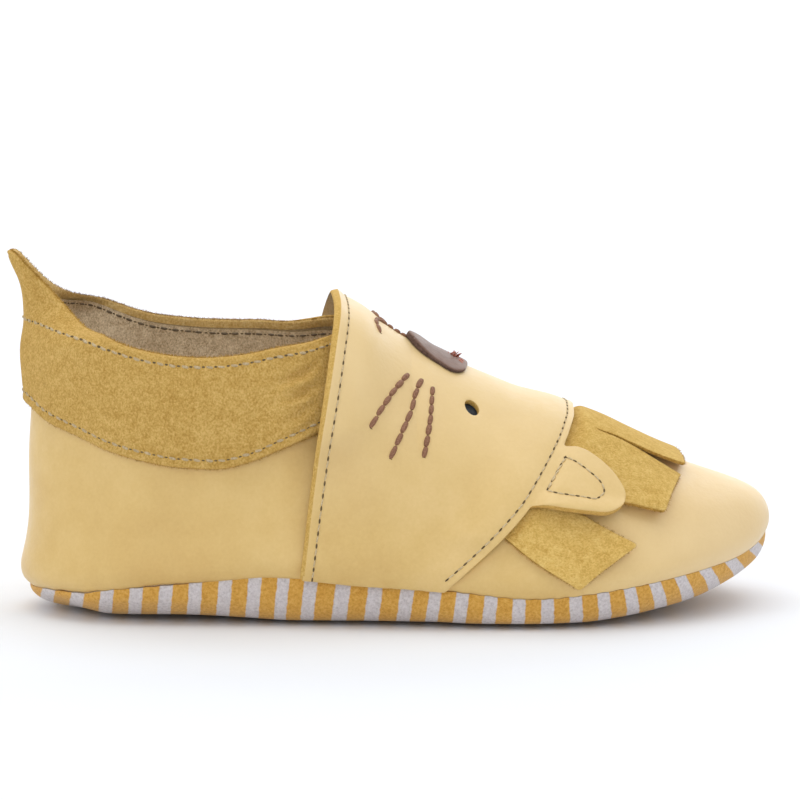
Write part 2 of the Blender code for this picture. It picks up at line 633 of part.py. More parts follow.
def build_panel(along=12, ear_steps=4):
    t, ear_lo, ear_hi = panel_rows()
    solid, grid = Solid(), {}
    last = len(t) - 1
    for side in (-1, 1):
        foot = t_at_height(side, panel_rear(side, np.array([0.02]))[0] * np.ones(1), skin(side, panel_rear(side, np.array([0.02])), 0.0)[..., 2] + PANEL_FOOT)
        tt = t.copy()
        tt[0] = foot[0]
        tt[1:8] = np.maximum(tt[1:8], foot[0] + 0.006 * np.arange(1, 8))
        s0, s1 = panel_rear(side, tt), panel_front(side, tt)
        for i in range(last + 1):
            s = s0[i] + (s1[i] - s0[i]) * np.linspace(0, 1, along + 1)
            lift = panel_lift(side, s, np.full(along + 1, tt[i]))
            if i == last:
                na = face(-1, s, np.ones(along + 1), True)[1] + face(1, s, np.ones(along + 1), True)[1]
                na /= np.linalg.norm(na, axis=-1, keepdims=True)
                p = skin(side, s, np.ones(along + 1), True)
                lo, up = p + na * lift[:, None], p + na * (lift + PANEL)[:, None]
            else:
                tr = np.full(along + 1, tt[i])
                lo, up = off(side, s, tr, lift, True), off(side, s, tr, lift + PANEL, True)
            own = 0 if i == last else side
            for k in range(along + 1):
                grid[side, i, k, 0] = solid.at((own, i, k, 0), lo[k])
                grid[side, i, k, 1] = solid.at((own, i, k, 1), up[k])
        # ear: rows between its roots run on to its outline
        ex, et = ear_outline(ear_hi - ear_lo + 1)
        for i in range(ear_lo + 1, ear_hi):
            m = i - ear_lo
            x0, t0 = float(flow(FRONT["rise"], FRONT["x"], tt[i])), tt[i]
            for k in range(1, ear_steps + 1):
                f = k / ear_steps
                x, r = x0 + (ex[m] - x0) * f, t0 + (et[m] - t0) * f
                s = s_at(side, x, r)
                lift = GAP + TAB_ROOT + GAP + (TAB - TAB_ROOT) * ease(f * 4) + EAR_LIFT * f
                grid[side, i, along + k, 0] = solid.at((side, i, along + k, 0), off(side, s, r, lift))
                grid[side, i, along + k, 1] = solid.at((side, i, along + k, 1), off(side, s, r, lift + PANEL))
    for side in (-1, 1):
        for k in (0, 1):
            flip = (side < 0) == (k == 1)
            for i in range(last):
                a = [grid[side, i, m, k] for m in range(along + 1)]
                b = [grid[side, i + 1, m, k] for m in range(along + 1)]
                solid.strip(b, a) if flip else solid.strip(a, b)
            for i in range(ear_lo, ear_hi):
                a = [grid.get((side, i, m, k), grid[side, i, along, k]) for m in range(along, along + ear_steps + 1)]
                b = [grid.get((side, i + 1, m, k), grid[side, i + 1, along, k]) for m in range(along, along + ear_steps + 1)]
                solid.strip(b, a) if flip else solid.strip(a, b)
        rim = [(0, m) for m in range(along, -1, -1)] + [(i, 0) for i in range(1, last + 1)]
        front = [(i, along) for i in range(0, ear_lo + 1)]
        front += [(i, along + ear_steps) for i in range(ear_lo + 1, ear_hi)]
        front += [(i, along) for i in range(ear_hi, last + 1)]
        for path in (rim, front):
            solid.strip([grid[side, i, m, 0] for i, m in path], [grid[side, i, m, 1] for i, m in path])
    return make("face_panel", solid, "leather")


# ------------------------------------------------------------- fringe and nose
def tab_thickness(x, rise):
    """Full suede in the open, skived under the front edge of the panel."""
    return TAB_ROOT + (TAB - TAB_ROOT) * ease((x - flow(FRONT["rise"], FRONT["x"], rise) - 0.2) / 1.6)


def build_tab(name, side, root_up, root_low, x_up, rise_up, x_low, rise_low, lift, flat, along=7, across=4):
    inner, outer = [], []
    for v in np.linspace(0, 1, across + 1):
        r0 = root_low + (root_up - root_low) * v
        x0 = float(flow(FRONT["rise"], FRONT["x"], r0)) - TUCK_FRONT
        x1, r1 = x_low + (x_up - x_low) * v, rise_low + (rise_up - rise_low) * v
        f = np.linspace(0, 1, along + 1)
        x, r = x0 + (x1 - x0) * f, r0 + (r1 - r0) * f
        s = s_at(side, x, r)
        d = GAP + lift * ease((f - flat) / (1 - flat))
        inner.append(off(side, s, r, d))
        outer.append(off(side, s, r, d + tab_thickness(x, r)))
    return sheet(np.array(inner), np.array(outer), name, "suede")


def build_top_tab(along=8, half=3):
    inner, outer = [], []
    for v in np.linspace(-1, 1, 2 * half + 1):
        side = -1 if v < 0 else 1
        r0, r1 = 1 - (1 - TOP_TAB_RISE_ROOT) * abs(v), 1 - (1 - TOP_TAB_RISE_TIP) * abs(v)
        f = np.linspace(0, 1, along + 1)
        x0 = float(flow(FRONT["rise"], FRONT["x"], r0)) - TUCK_FRONT
        x1 = TOP_TAB_TIP_X - 1.2 * v * v
        x, r = x0 + (x1 - x0) * f, r0 + (r1 - r0) * f
        r = np.minimum(r, 0.995)
        s = s_at(side, x, r)
        d = GAP + TOP_TAB_LIFT * ease((f - 0.2) / 0.8)
        inner.append(off(side, s, r, d))
        outer.append(off(side, s, r, d + tab_thickness(x, r)))
    return sheet(np.array(inner), np.array(outer), "mane_top", "suede")


def build_nose(rings=3, around=20):
    solid = Solid()
    table = {}
    for k in range(around):
        # outline walked by length: out along one half, back along the other
        u = k / around * 2
        side = -1 if u < 1 else 1
        v = u if u < 1 else 2 - u
        run = np.concatenate([[0], np.cumsum(np.hypot(np.diff(NSE["x"]), np.diff(NSE["rise"]) * 45))])
        ox, ot = float(flow(run, NSE["x"], v * run[-1])), min(float(flow(run, NSE["rise"], v * run[-1])), 1.0)
        for ring in range(rings + 1):
            f = ring / rings
            x, r = NOSE_MIDDLE + (ox - NOSE_MIDDLE) * f, min(1 - (1 - ot) * f, 0.9985)
            s = s_at(side, x, r, True)
            p, n = face(side, s, r, True)
            if ring == 0:
                n = np.array([0.37, 0, 0.93])
                p = skin(-1, s_at(-1, NOSE_MIDDLE, 1.0, True), 1.0, True)
            low = GAP + PANEL + GAP
            high = low + NOSE * (1 - 0.35 * f**3)
            own = k if ring else 0
            table[k, ring, 0] = solid.at((own, ring, 0), p + n * low)
            table[k, ring, 1] = solid.at((own, ring, 1), p + n * high)
    for k in range(around):
        m = (k + 1) % around
        for side in (0, 1):
            a = [table[k, r, side] for r in range(rings + 1)]
            b = [table[m, r, side] for r in range(rings + 1)]
            solid.strip(a, b) if side else solid.strip(b, a)
        solid.add(table[k, rings, 0], table[m, rings, 0], table[m, rings, 1], table[k, rings, 1])
    return make("nose", solid, "nose_leather")


build_sole()
build_insole()
build_upper()
build_collar()
build_panel()
for row in TABS:
    build_tab(*row)
build_top_tab()
build_nose()
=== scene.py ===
"""Looks of the soft-sole baby shoe: the same last as the solids, at fine pitch, with
creases, rounded cut edges, stitching, nap and print. Sizes in millimetres, +X heel to
toe, +Y inner side, +Z up."""

import bpy
import numpy as np
from mathutils import Matrix, Vector
from mathutils.geometry import delaunay_2d_cdt


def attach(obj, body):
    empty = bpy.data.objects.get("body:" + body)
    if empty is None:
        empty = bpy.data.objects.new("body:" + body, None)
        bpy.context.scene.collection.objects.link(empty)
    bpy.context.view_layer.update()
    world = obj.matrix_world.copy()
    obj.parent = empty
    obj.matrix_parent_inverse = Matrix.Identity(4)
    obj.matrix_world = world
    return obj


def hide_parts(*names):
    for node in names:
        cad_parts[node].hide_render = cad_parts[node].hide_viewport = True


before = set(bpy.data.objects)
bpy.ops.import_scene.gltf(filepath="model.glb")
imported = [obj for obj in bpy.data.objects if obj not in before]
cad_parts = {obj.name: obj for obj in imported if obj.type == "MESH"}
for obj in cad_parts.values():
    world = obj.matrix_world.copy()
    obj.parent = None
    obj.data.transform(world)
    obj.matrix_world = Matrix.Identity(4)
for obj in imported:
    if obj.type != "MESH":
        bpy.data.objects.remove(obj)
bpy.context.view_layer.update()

# ------------------------------------------------------------------ sizes (mm)
MM = 0.001
CENTRE_X, CENTRE_Y = -0.375, 0.168  # middle of the whole box, moved to the origin
GAP = 0.3  # air between neighbouring pieces
WALL = 1.4  # upper: leather and lining
PANEL = 1.2  # face panel
BAND = 1.2  # collar band
TAB = 1.1  # fringe tabs
TAB_ROOT = 0.5  # their skived roots
NOSE = 1.2  # nose
SOLE = 1.5  # outsole
INSOLE = 1.6  # inner sole
ROLL = 3.0  # height of the turned-in roll above the seam
RIM_STEP = 1.2  # the collar stands this far above the upper's rim
HEEL_RIM = 51.0  # rim of the upper at the heel, under the pull peak
TUCK_REAR = 4.0  # collar under the rear edge of the panel
TUCK_FRONT = 2.5  # fringe under the front edge of the panel
PANEL_FOOT = 0.6  # lower edge of the panel above the seam
EAR_LIFT = 0.2  # further rise of the ear towards its tip

# Each row is one section of the last. x_f, y_lat, y_med, z_f: the seam with the
# sole. x_t, y_t, z_t: the top line, which is the collar rim up to the throat row
# and the ridge of the vamp after it. lean: angle of the wall at the top line, 90
# where both sides meet level on the ridge. k_low, k_top: fullness of the wall at
# its foot and top. over: how far the roll overhangs the seam.
SECTION_COLUMNS = "x_f y_lat y_med z_f x_t y_t z_t lean k_low k_top over".split()
SECTIONS = [
    (-62.4, 0.0, 0.0, 3.5, -64.3, 0.0, 61.0, -28, 22.0, 9.0, 1.6),
    (-60.6, 8.0, 8.0, 3.8, -61.2, 6.3, 57.6, -20, 20.0, 9.0, 1.6),
    (-56.3, 14.0, 13.9, 4.3, -57.0, 12.2, 53.8, -10, 18.0, 10.0, 1.5),
    (-50.0, 18.4, 18.2, 5.2, -50.7, 17.2, 49.8, -2, 15.0, 11.0, 1.4),
    (-41.5, 21.4, 21.0, 6.3, -42.0, 20.6, 46.9, 4, 13.0, 12.0, 1.3),
    (-31.5, 22.8, 22.2, 7.5, -32.0, 21.8, 46.0, 8, 13.0, 12.0, 1.2),
    (-21.5, 23.6, 22.6, 8.4, -22.0, 19.6, 47.0, 16, 13.0, 11.0, 1.1),
    (-13.5, 24.5, 23.0, 8.1, -14.0, 14.6, 48.4, 34, 15.0, 9.0, 1.0),
    (-5.5, 25.6, 23.9, 7.7, -5.8, 8.2, 47.6, 62, 18.0, 10.0, 1.0),
    (4.0, 27.0, 25.3, 6.8, 2.5, 0.0, 44.4, 90, 20.0, 15.0, 1.0),
    (12.5, 28.2, 27.2, 5.7, 10.5, 0.0, 40.5, 90, 18.5, 16.0, 1.0),
    (21.5, 28.9, 28.6, 4.8, 18.8, 0.0, 36.9, 90, 17.0, 16.5, 0.9),
    (30.5, 28.5, 28.9, 5.3, 27.0, 0.0, 33.5, 90, 15.0, 16.0, 0.8),
    (39.0, 26.8, 28.2, 6.4, 35.0, 0.0, 30.7, 90, 13.0, 14.5, 0.8),
    (47.0, 23.0, 25.6, 7.9, 41.6, 0.0, 28.3, 90, 11.0, 12.5, 0.8),
    (54.0, 17.4, 21.0, 9.1, 46.2, 0.0, 26.5, 90, 9.5, 10.5, 0.8),
    (59.6, 10.8, 15.0, 10.3, 49.0, 0.0, 25.4, 90, 8.5, 9.7, 0.8),
    (63.1, 4.2, 8.8, 11.7, 50.4, 0.0, 24.85, 90, 8.0, 9.5, 0.8),
    (64.3, -2.3, 2.3, 12.5, 51.0, 0.0, 24.6, 90, 7.5, 9.5, 0.8),
]
THROAT_ROW = 9

# Sideways drift of the ridge towards the big toe.
DRIFT_COLUMNS = "x drift".split()
DRIFT = [(-64, 0.0), (0, 0.0), (30, 0.8), (50, 1.8), (64, 2.3)]

# Sole: how far the flat tread lies inside the seam, and its height (arch, toe spring).
TREAD_COLUMNS = "x inset z_b".split()
TREAD = [
    (-62.4, 7.6, 0.0),
    (-50.0, 6.6, 0.0),
    (-41.5, 5.8, 0.0),
    (-31.5, 5.2, 0.0),
    (-21.5, 4.4, 0.0),
    (-13.5, 4.2, 0.3),
    (-5.5, 4.4, 0.5),
    (4.0, 4.4, 0.3),
    (12.5, 3.4, 0.0),
    (21.5, 2.8, 0.0),
    (30.5, 3.6, 0.0),
    (39.0, 5.4, 0.4),
    (47.0, 6.2, 1.4),
    (54.0, 6.4, 2.8),
    (59.6, 6.2, 4.4),
    (63.1, 6.0, 5.5),
    (64.3, 6.0, 5.9),
]

# Ridge of the face panel behind the throat, where it stands free over the opening.
ARCH_COLUMNS = "x_f x_t z_t k_low k_top".split()
ARCH = [
    (-31.5, -30.5, 63.6, 36.0, 20.0),
    (-21.5, -20.5, 57.8, 34.0, 20.0),
    (-13.5, -12.6, 53.0, 31.0, 19.5),
    (-5.5, -4.8, 48.7, 27.0, 18.0),
    (4.0, 2.5, 44.4, 20.0, 15.0),
]

# Edges of the face panel: rear edge by height, front edge by girth fraction
# (0 at the sole seam, 1 on the ridge).
REAR_COLUMNS = "z x".split()
REAR_EDGE = [(6, -17.4), (22, -15.4), (40, -13.0), (47, -12.2), (54, -10.9)]
FRONT_COLUMNS = "rise x".split()
FRONT_EDGE = [
    (0.00, 7.0),
    (0.044, 9.6),
    (0.114, 13.1),
    (0.208, 17.3),
    (0.34, 21.9),
    (0.65, 27.9),
    (0.73, 28.8),
    (0.85, 29.8),
    (1.00, 30.2),
]

# Ear outline, from its upper root round the tip to its lower root.
EAR_COLUMNS = "x rise".split()
EAR = [
    (30.6, 0.585),
    (33.7, 0.53),
    (36.0, 0.46),
    (37.0, 0.395),
    (36.4, 0.345),
    (34.2, 0.312),
    (31.0, 0.312),
    (26.8, 0.318),
]
EAR_ROOT_RISE = (0.327, 0.605)

# Lower edge of the collar band, by length.
COLLAR_COLUMNS = "x z".split()
COLLAR_EDGE = [
    (-66, 36.4),
    (-62, 35.9),
    (-58.5, 33.7),
    (-53.5, 31.8),
    (-49, 30.0),
    (-43.5, 28.7),
    (-37, 27.6),
    (-31, 27.4),
    (-26, 28.3),
    (-19.4, 30.8),
    (-15.8, 32.1),
    (-12.4, 33.4),
    (-6, 35.4),
]

# Fringe tabs: corners as (length x, girth fraction); lift is the height of the
# free tip above its resting face, flat the share of the tab that stays down.
TAB_COLUMNS = "name side root_up root_low x_up rise_up x_low rise_low lift flat".split()
TABS = [
    ("mane_upper_outer", -1, 0.80, 0.475, 48.0, 0.72, 44.0, 0.35, 1.2, 0.5),
    ("mane_lower_outer", -1, 0.455, 0.21, 39.0, 0.20, 29.6, 0.055, 0.8, 0.5),
    ("mane_upper_inner", 1, 0.80, 0.475, 48.0, 0.72, 44.0, 0.35, 1.2, 0.5),
    ("mane_lower_inner", 1, 0.455, 0.21, 39.0, 0.20, 29.6, 0.055, 0.8, 0.5),
]
TOP_TAB_RISE_ROOT, TOP_TAB_RISE_TIP = 0.825, 0.80  # the middle tab spans the ridge
TOP_TAB_TIP_X, TOP_TAB_LIFT = 49.2, 1.6

# Nose outline, half: length against girth fraction.
NOSE_COLUMNS = "x rise".split()
NOSE_HALF = [(1.2, 1.0), (2.2, 0.93), (3.8, 0.875), (6.7, 0.845), (9.0, 0.832), (10.7, 0.865), (11.6, 0.93), (11.9, 1.0)]
NOSE_MIDDLE = 7.4


# -------------------------------------------------------------- interpolation
def columns(names, rows):
    data = np.array(rows, float)
    return {name: data[:, i] for i, name in enumerate(names)}


def flow(xk, yk, x):
    """Monotone cubic through a table, level outside it."""
    xk, yk = np.asarray(xk, float), np.asarray(yk, float)
    x = np.clip(np.asarray(x, float), xk[0] - 4, xk[-1] + 4)
    h = np.diff(xk)
    d = np.diff(yk) / h
    m = np.zeros_like(yk)
    for i in range(1, len(xk) - 1):
        if d[i - 1] * d[i] > 0:
            w1, w2 = 2 * h[i] + h[i - 1], h[i] + 2 * h[i - 1]
            m[i] = (w1 + w2) / (w1 / d[i - 1] + w2 / d[i])
    m[0], m[-1] = d[0], d[-1]
    j = np.clip(np.searchsorted(xk, x) - 1, 0, len(h) - 1)
    u = (x - xk[j]) / h[j]
    return (
        (1 + 2 * u) * (1 - u) ** 2 * yk[j]
        + u * (1 - u) ** 2 * h[j] * m[j]
        + u * u * (3 - 2 * u) * yk[j + 1]
        + u * u * (u - 1) * h[j] * m[j + 1]
    )


def ease(u):
    u = np.clip(u, 0, 1)
    return u * u * (3 - 2 * u)


class Loop:
    """Cubic spline through a closed loop of values."""

    def __init__(self, knots, values):
        self.k, v = np.asarray(knots, float), np.asarray(values, float)
        n, self.h = len(v), np.diff(self.k)
        a, r = np.zeros((n, n)), np.zeros(n)
        for i in range(n):
            hm, hp = self.h[i - 1], self.h[i]
            a[i, i - 1] += hm
            a[i, i] += 2 * (hm + hp)
            a[i, (i + 1) % n] += hp
            r[i] = 6 * ((v[(i + 1) % n] - v[i]) / hp - (v[i] - v[i - 1]) / hm)
        m = np.linalg.solve(a, r)
        self.v, self.m = np.append(v, v[0]), np.append(m, m[0])

    def __call__(self, q):
        k0, k1 = self.k[0], self.k[-1]
        q = (np.asarray(q, float) - k0) % (k1 - k0) + k0
        j = np.clip(np.searchsorted(self.k, q, side="right") - 1, 0, len(self.h) - 1)
        h = self.h[j]
        a, b = (self.k[j + 1] - q) / h, (q - self.k[j]) / h
        return a * self.v[j] + b * self.v[j + 1] + ((a**3 - a) * self.m[j] + (b**3 - b) * self.m[j + 1]) * h * h / 6


# ------------------------------------------------------------- form of the last
SEC = columns(SECTION_COLUMNS, SECTIONS)
lat_step = np.hypot(np.diff(SEC["x_f"]), np.diff(SEC["y_lat"]))
med_step = np.hypot(np.diff(SEC["x_f"]), np.diff(SEC["y_med"]))
KNOTS = np.concatenate([[0], np.cumsum((lat_step + med_step) / 2)])
LENGTH = KNOTS[-1]
LOOP_KNOTS = np.concatenate([KNOTS, 2 * LENGTH - KNOTS[-2::-1]])


def both(lat, med):
    return Loop(LOOP_KNOTS, np.concatenate([lat, med[-2:0:-1]]))


SPLINE = {"x": both(SEC["x_f"], SEC["x_f"]), "y": both(-SEC["y_lat"], SEC["y_med"])}
for name in ("z_f", "x_t", "z_t", "k_low", "k_top", "over"):
    SPLINE[name] = both(SEC[name], SEC[name])
DRF, TRD, ARC = columns(DRIFT_COLUMNS, DRIFT), columns(TREAD_COLUMNS, TREAD), columns(ARCH_COLUMNS, ARCH)
REAR, FRONT = columns(REAR_COLUMNS, REAR_EDGE), columns(FRONT_COLUMNS, FRONT_EDGE)
COL, NSE = columns(COLLAR_COLUMNS, COLLAR_EDGE), columns(NOSE_COLUMNS, NOSE_HALF)
ARCH_KNOTS = np.interp(ARC["x_f"], SEC["x_f"], KNOTS)
TREAD_KNOTS = np.interp(TRD["x"], SEC["x_f"], KNOTS)


def stack(*parts):
    return np.stack(np.broadcast_arrays(*parts), -1)


def seam(side, s):
    """Seam point and outward direction in plan; side -1 outer, +1 inner."""
    q = np.where(np.asarray(side) < 0, s, 2 * LENGTH - np.asarray(s))
    e = 0.05
    dx, dy = SPLINE["x"](q + e) - SPLINE["x"](q - e), SPLINE["y"](q + e) - SPLINE["y"](q - e)
    run = np.hypot(dx, dy)
    return q, SPLINE["x"](q), SPLINE["y"](q), SPLINE["z_f"](q), dy / run, -dx / run


def ridge_slope(s):
    a = np.clip(s - 0.4, KNOTS[THROAT_ROW], LENGTH)
    b = np.clip(s + 0.4, KNOTS[THROAT_ROW] + 0.8, LENGTH)
    dx, dz = SPLINE["x_t"](b) - SPLINE["x_t"](a), SPLINE["z_t"](b) - SPLINE["z_t"](a)
    safe = np.abs(dx) > 1e-6
    return np.clip(np.where(safe, dz / np.where(safe, dx, 1), -0.4), -0.7, -0.2)


def skin(side, s, t, arch=False):
    """Point of the upper's outer face; t runs from the seam (0) to the top line (1).
    With arch, the wall carries on over the throat as the face panel does."""
    side, s, t = np.broadcast_arrays(np.asarray(side, float), np.asarray(s, float), np.asarray(t, float))
    q, x, y, z, nx, ny = seam(side, s)
    x_t, z_t = SPLINE["x_t"](q), SPLINE["z_t"](q)
    y_t = flow(KNOTS, SEC["y_t"], s)
    lean, k_low, k_top = flow(KNOTS, SEC["lean"], s), SPLINE["k_low"](q), SPLINE["k_top"](q)
    slope = ridge_slope(s)
    if arch:
        free = s < KNOTS[THROAT_ROW]
        x_t = np.where(free, flow(ARCH_KNOTS, ARC["x_t"], s), x_t)
        z_t = np.where(free, flow(ARCH_KNOTS, ARC["z_t"], s), z_t)
        k_low = np.where(free, flow(ARCH_KNOTS, ARC["k_low"], s), k_low)
        k_top = np.where(free, flow(ARCH_KNOTS, ARC["k_top"], s), k_top)
        y_t, lean = np.where(free, 0, y_t), np.where(free, 90, lean)
        slope = np.where(free, -0.56, slope)
    y_t = side * y_t + np.interp(x_t, DRF["x"], DRF["drift"])
    sn, cs = np.sin(np.radians(lean)), np.cos(np.radians(lean))
    foot, head = stack(x, y, z), stack(x_t, y_t, z_t)
    low = foot + stack(0 * k_low, 0 * k_low, k_low)
    high = head + stack(sn * nx, sn * ny, sn * nx * slope - cs) * k_top[..., None]
    a, b = (1 - t)[..., None], t[..., None]
    p = a**3 * foot + 3 * a * a * b * low + 3 * a * b * b * high + b**3 * head
    u = np.maximum(p[..., 2] - z, 0) / ROLL
    roll = SPLINE["over"](q) * u * np.exp(1 - u)
    return p + stack(nx * roll, ny * roll, 0 * roll)


def face(side, s, t, arch=False):
    """Point and outward normal."""
    side, s, t = np.broadcast_arrays(np.asarray(side, float), np.asarray(s, float), np.asarray(t, float))
    fore, aft = s + 0.05, s - 0.05
    if arch:
        brink = KNOTS[THROAT_ROW]
        fore = np.where(s < brink, np.minimum(fore, brink - 1e-4), fore)
        aft = np.where(s < brink, np.minimum(aft, brink - 0.05), np.maximum(aft, brink))
    along = skin(side, fore, t, arch) - skin(side, aft, t, arch)
    up = skin(side, s, t + 0.004, arch) - skin(side, s, np.maximum(t - 0.004, 0), arch)
    n = np.cross(along, up) * (-side)[..., None]
    return skin(side, s, t, arch), n / np.maximum(np.linalg.norm(n, axis=-1, keepdims=True), 1e-12)


def off(side, s, t, d, arch=False):
    p, n = face(side, s, t, arch)
    return p + n * np.asarray(d, float)[..., None]


def solve(low, high, value):
    """Root of a rising function of one unknown, on arrays: halving, then false position."""
    low, high = np.array(low, float), np.array(high, float)
    f_low, f_high = value(low), value(high)
    kept = np.zeros(low.shape)
    mid = low
    for k in range(15):
        span = np.where(np.abs(f_high - f_low) < 1e-12, 1.0, f_high - f_low)
        cut = np.clip(high - f_high * (high - low) / span, low, high)
        mid = (low + high) / 2 if k in (0, 1, 2, 6) else cut
        f = value(mid)
        less = f < 0
        f_high = np.where(less, np.where(kept < 0, f_high / 2, f_high), f)
        f_low = np.where(less, f, np.where(kept > 0, f_low / 2, f_low))
        kept = np.where(less, -1, 1)
        low, high = np.where(less, mid, low), np.where(less, high, mid)
    return mid


def s_at(side, x, t, arch=False):
    side, x, t = np.broadcast_arrays(np.asarray(side, float), np.asarray(x, float), np.asarray(t, float))
    return solve(np.full(x.shape, 0.0), np.full(x.shape, LENGTH), lambda s: skin(side, s, t, arch)[..., 0] - x)


def t_at_height(side, s, z):
    side, s, z = np.broadcast_arrays(np.asarray(side, float), np.asarray(s, float), np.asarray(z, float))
    return solve(np.zeros(s.shape), np.ones(s.shape), lambda t: skin(side, s, t)[..., 2] - z)


def stations(first, last, per_row):
    """Positions along the seam from one section row to another."""
    out = [KNOTS[first]]
    for i in range(first, last):
        out += list(KNOTS[i] + (KNOTS[i + 1] - KNOTS[i]) * (np.arange(per_row) + 1) / per_row)
    return np.array(out)
# ----------------------------------------------------------------------- upper
def rim_t(side, s):
    """Girth fraction of the upper's own rim, a step below the collar's edge."""
    top = skin(side, s, 1.0)[..., 2]
    t = t_at_height(side, s, np.minimum(top - RIM_STEP, HEEL_RIM))
    return np.where(s > KNOTS[THROAT_ROW] - 1e-6, 1.0, t)

# ------------------------------------------------------------- sole and insole
def tread(side, s):
    """Edge of the flat tread under station s, its slope and the outward direction."""
    q, x, y, z, nx, ny = seam(side, s)
    inset, z_b = flow(TREAD_KNOTS, TRD["inset"], s), np.maximum(flow(TREAD_KNOTS, TRD["z_b"], s), 0)
    rise = np.clip((flow(TREAD_KNOTS, TRD["z_b"], s + 1) - flow(TREAD_KNOTS, TRD["z_b"], s - 1)) / 2, 0, 0.6)
    return stack(x - nx * inset, y - ny * inset, z_b), rise, stack(nx, ny, 0 * nx), inset, stack(x, y, z)


def dish(side, s, u, inward):
    """Side of the sole from the tread edge (u 0) up to the seam (u 1), moved inward."""

    def curve(v):
        b, rise, n, inset, f = tread(side, s)
        v = np.asarray(v, float)[..., None]
        f = f - np.array([0, 0, GAP])
        up = np.array([0, 0, 1.0])
        one = b + n * 0.62 * inset[..., None] + up * (0.5 * inset * rise * np.maximum(n[..., 0], 0))[..., None]
        two = f - up * 0.5 * (f[..., 2:] - b[..., 2:]) + n * 0.25
        return (1 - v) ** 3 * b + 3 * (1 - v) ** 2 * v * one + 3 * (1 - v) * v * v * two + v**3 * f

    p = curve(u)
    d = curve(np.minimum(u + 0.01, 1)) - curve(np.maximum(u - 0.01, 0))
    n = tread(side, s)[2]
    out = (d * n).sum(-1)
    run = np.maximum(np.hypot(out, d[..., 2]), 1e-9)
    normal = n * (d[..., 2] / run)[..., None] - np.array([0, 0, 1.0]) * (out / run)[..., None]
    flat = np.where(np.asarray(u) < 1e-6, 1.0, 0.0)[..., None]
    normal = normal * (1 - flat) + flat * np.array([0, 0, -1.0])
    return p - normal * inward

# ---------------------------------------------------------------------- collar
def collar_end(side, t):
    """Station where the collar stops, tucked under the rear edge of the panel."""
    t = np.asarray(t, float)
    return solve(
        np.full(t.shape, KNOTS[5]),
        np.full(t.shape, KNOTS[THROAT_ROW]),
        lambda s: skin(side, s, t)[..., 0] - TUCK_REAR - flow(REAR["z"], REAR["x"], skin(side, s, t)[..., 2]),
    )


def collar_foot(side, s):
    return solve(
        np.zeros(np.shape(s)),
        np.ones(np.shape(s)),
        lambda t: skin(side, s, t)[..., 2] - flow(COL["x"], COL["z"], skin(side, s, t)[..., 0]),
    )

# ------------------------------------------------------------------ face panel
def panel_rear(side, t):
    t = np.asarray(t, float)
    return solve(
        np.full(t.shape, KNOTS[5]),
        np.full(t.shape, KNOTS[THROAT_ROW]),
        lambda s: skin(side, s, t, True)[..., 0] - flow(REAR["z"], REAR["x"], skin(side, s, t, True)[..., 2]),
    )


def panel_front(side, t):
    return s_at(side, flow(FRONT["rise"], FRONT["x"], t), t, True)

# ------------------------------------------------------------- fringe and nose
def tab_thickness(x, rise):
    """Full suede in the open, skived under the front edge of the panel."""
    return TAB_ROOT + (TAB - TAB_ROOT) * ease((x - flow(FRONT["rise"], FRONT["x"], rise) - 0.2) / 1.6)



# -------------------------------------------------------------------- creases
# hand: -1 outer side, 1 inner side, 0 both. long, wide: half sizes along and across
# the fold; angle of its line from level; depth: minus for a trough, plus for a ridge.
CREASE_COLUMNS = "hand x z long wide angle depth".split()
CREASES = [
    (-1, -53.0, 20.0, 16.0, 4.5, 86, -0.60),
    (-1, -44.5, 22.0, 14.0, 4.5, 76, 0.45),
    (-1, -38.0, 15.0, 11.0, 4.0, 68, -0.52),
    (-1, -30.0, 21.0, 14.0, 4.5, 98, 0.52),
    (-1, -24.5, 26.0, 9.0, 3.0, 62, -0.38),
    (-1, -20.0, 14.0, 10.0, 3.2, 96, 0.30),
    (-1, 8.0, 18.0, 12.0, 5.5, 70, -0.57),
    (-1, 17.0, 23.0, 12.0, 5.0, 64, 0.38),
    (-1, -6.0, 20.0, 15.0, 4.5, 82, 0.33),
    (-1, 45.0, 13.5, 10.0, 3.2, 24, -0.33),
    (-1, 52.0, 17.0, 9.0, 3.0, 30, 0.24),
    (1, -50.0, 21.0, 16.0, 4.5, 95, -0.57),
    (1, -40.0, 17.0, 13.0, 4.5, 108, 0.45),
    (1, -31.0, 22.0, 12.0, 4.0, 84, -0.48),
    (1, -22.0, 15.0, 11.0, 3.4, 80, 0.38),
    (1, 6.0, 19.0, 13.0, 5.5, 104, -0.52),
    (1, 17.0, 21.0, 12.0, 5.0, 112, 0.33),
    (1, 47.0, 14.0, 10.0, 3.4, 160, -0.30),
]


def crease(p):
    d = np.zeros(p.shape[:-1])
    for hand, x, z, long, wide, angle, depth in CREASES:
        c, s = np.cos(np.radians(angle)), np.sin(np.radians(angle))
        u = c * (p[..., 0] - x) + s * (p[..., 2] - z)
        v = -s * (p[..., 0] - x) + c * (p[..., 2] - z)
        gate = ease(hand * p[..., 1] / 9) if hand else 1.0
        d = d + gate * depth * np.exp(-((u / long) ** 2) - (v / wide) ** 2)
    return d


def surf(side, s, t, arch=False):
    """Creased outer face of the upper, with its normal."""
    p, n = face(side, s, t, arch)
    return p + n * crease(p)[..., None], n


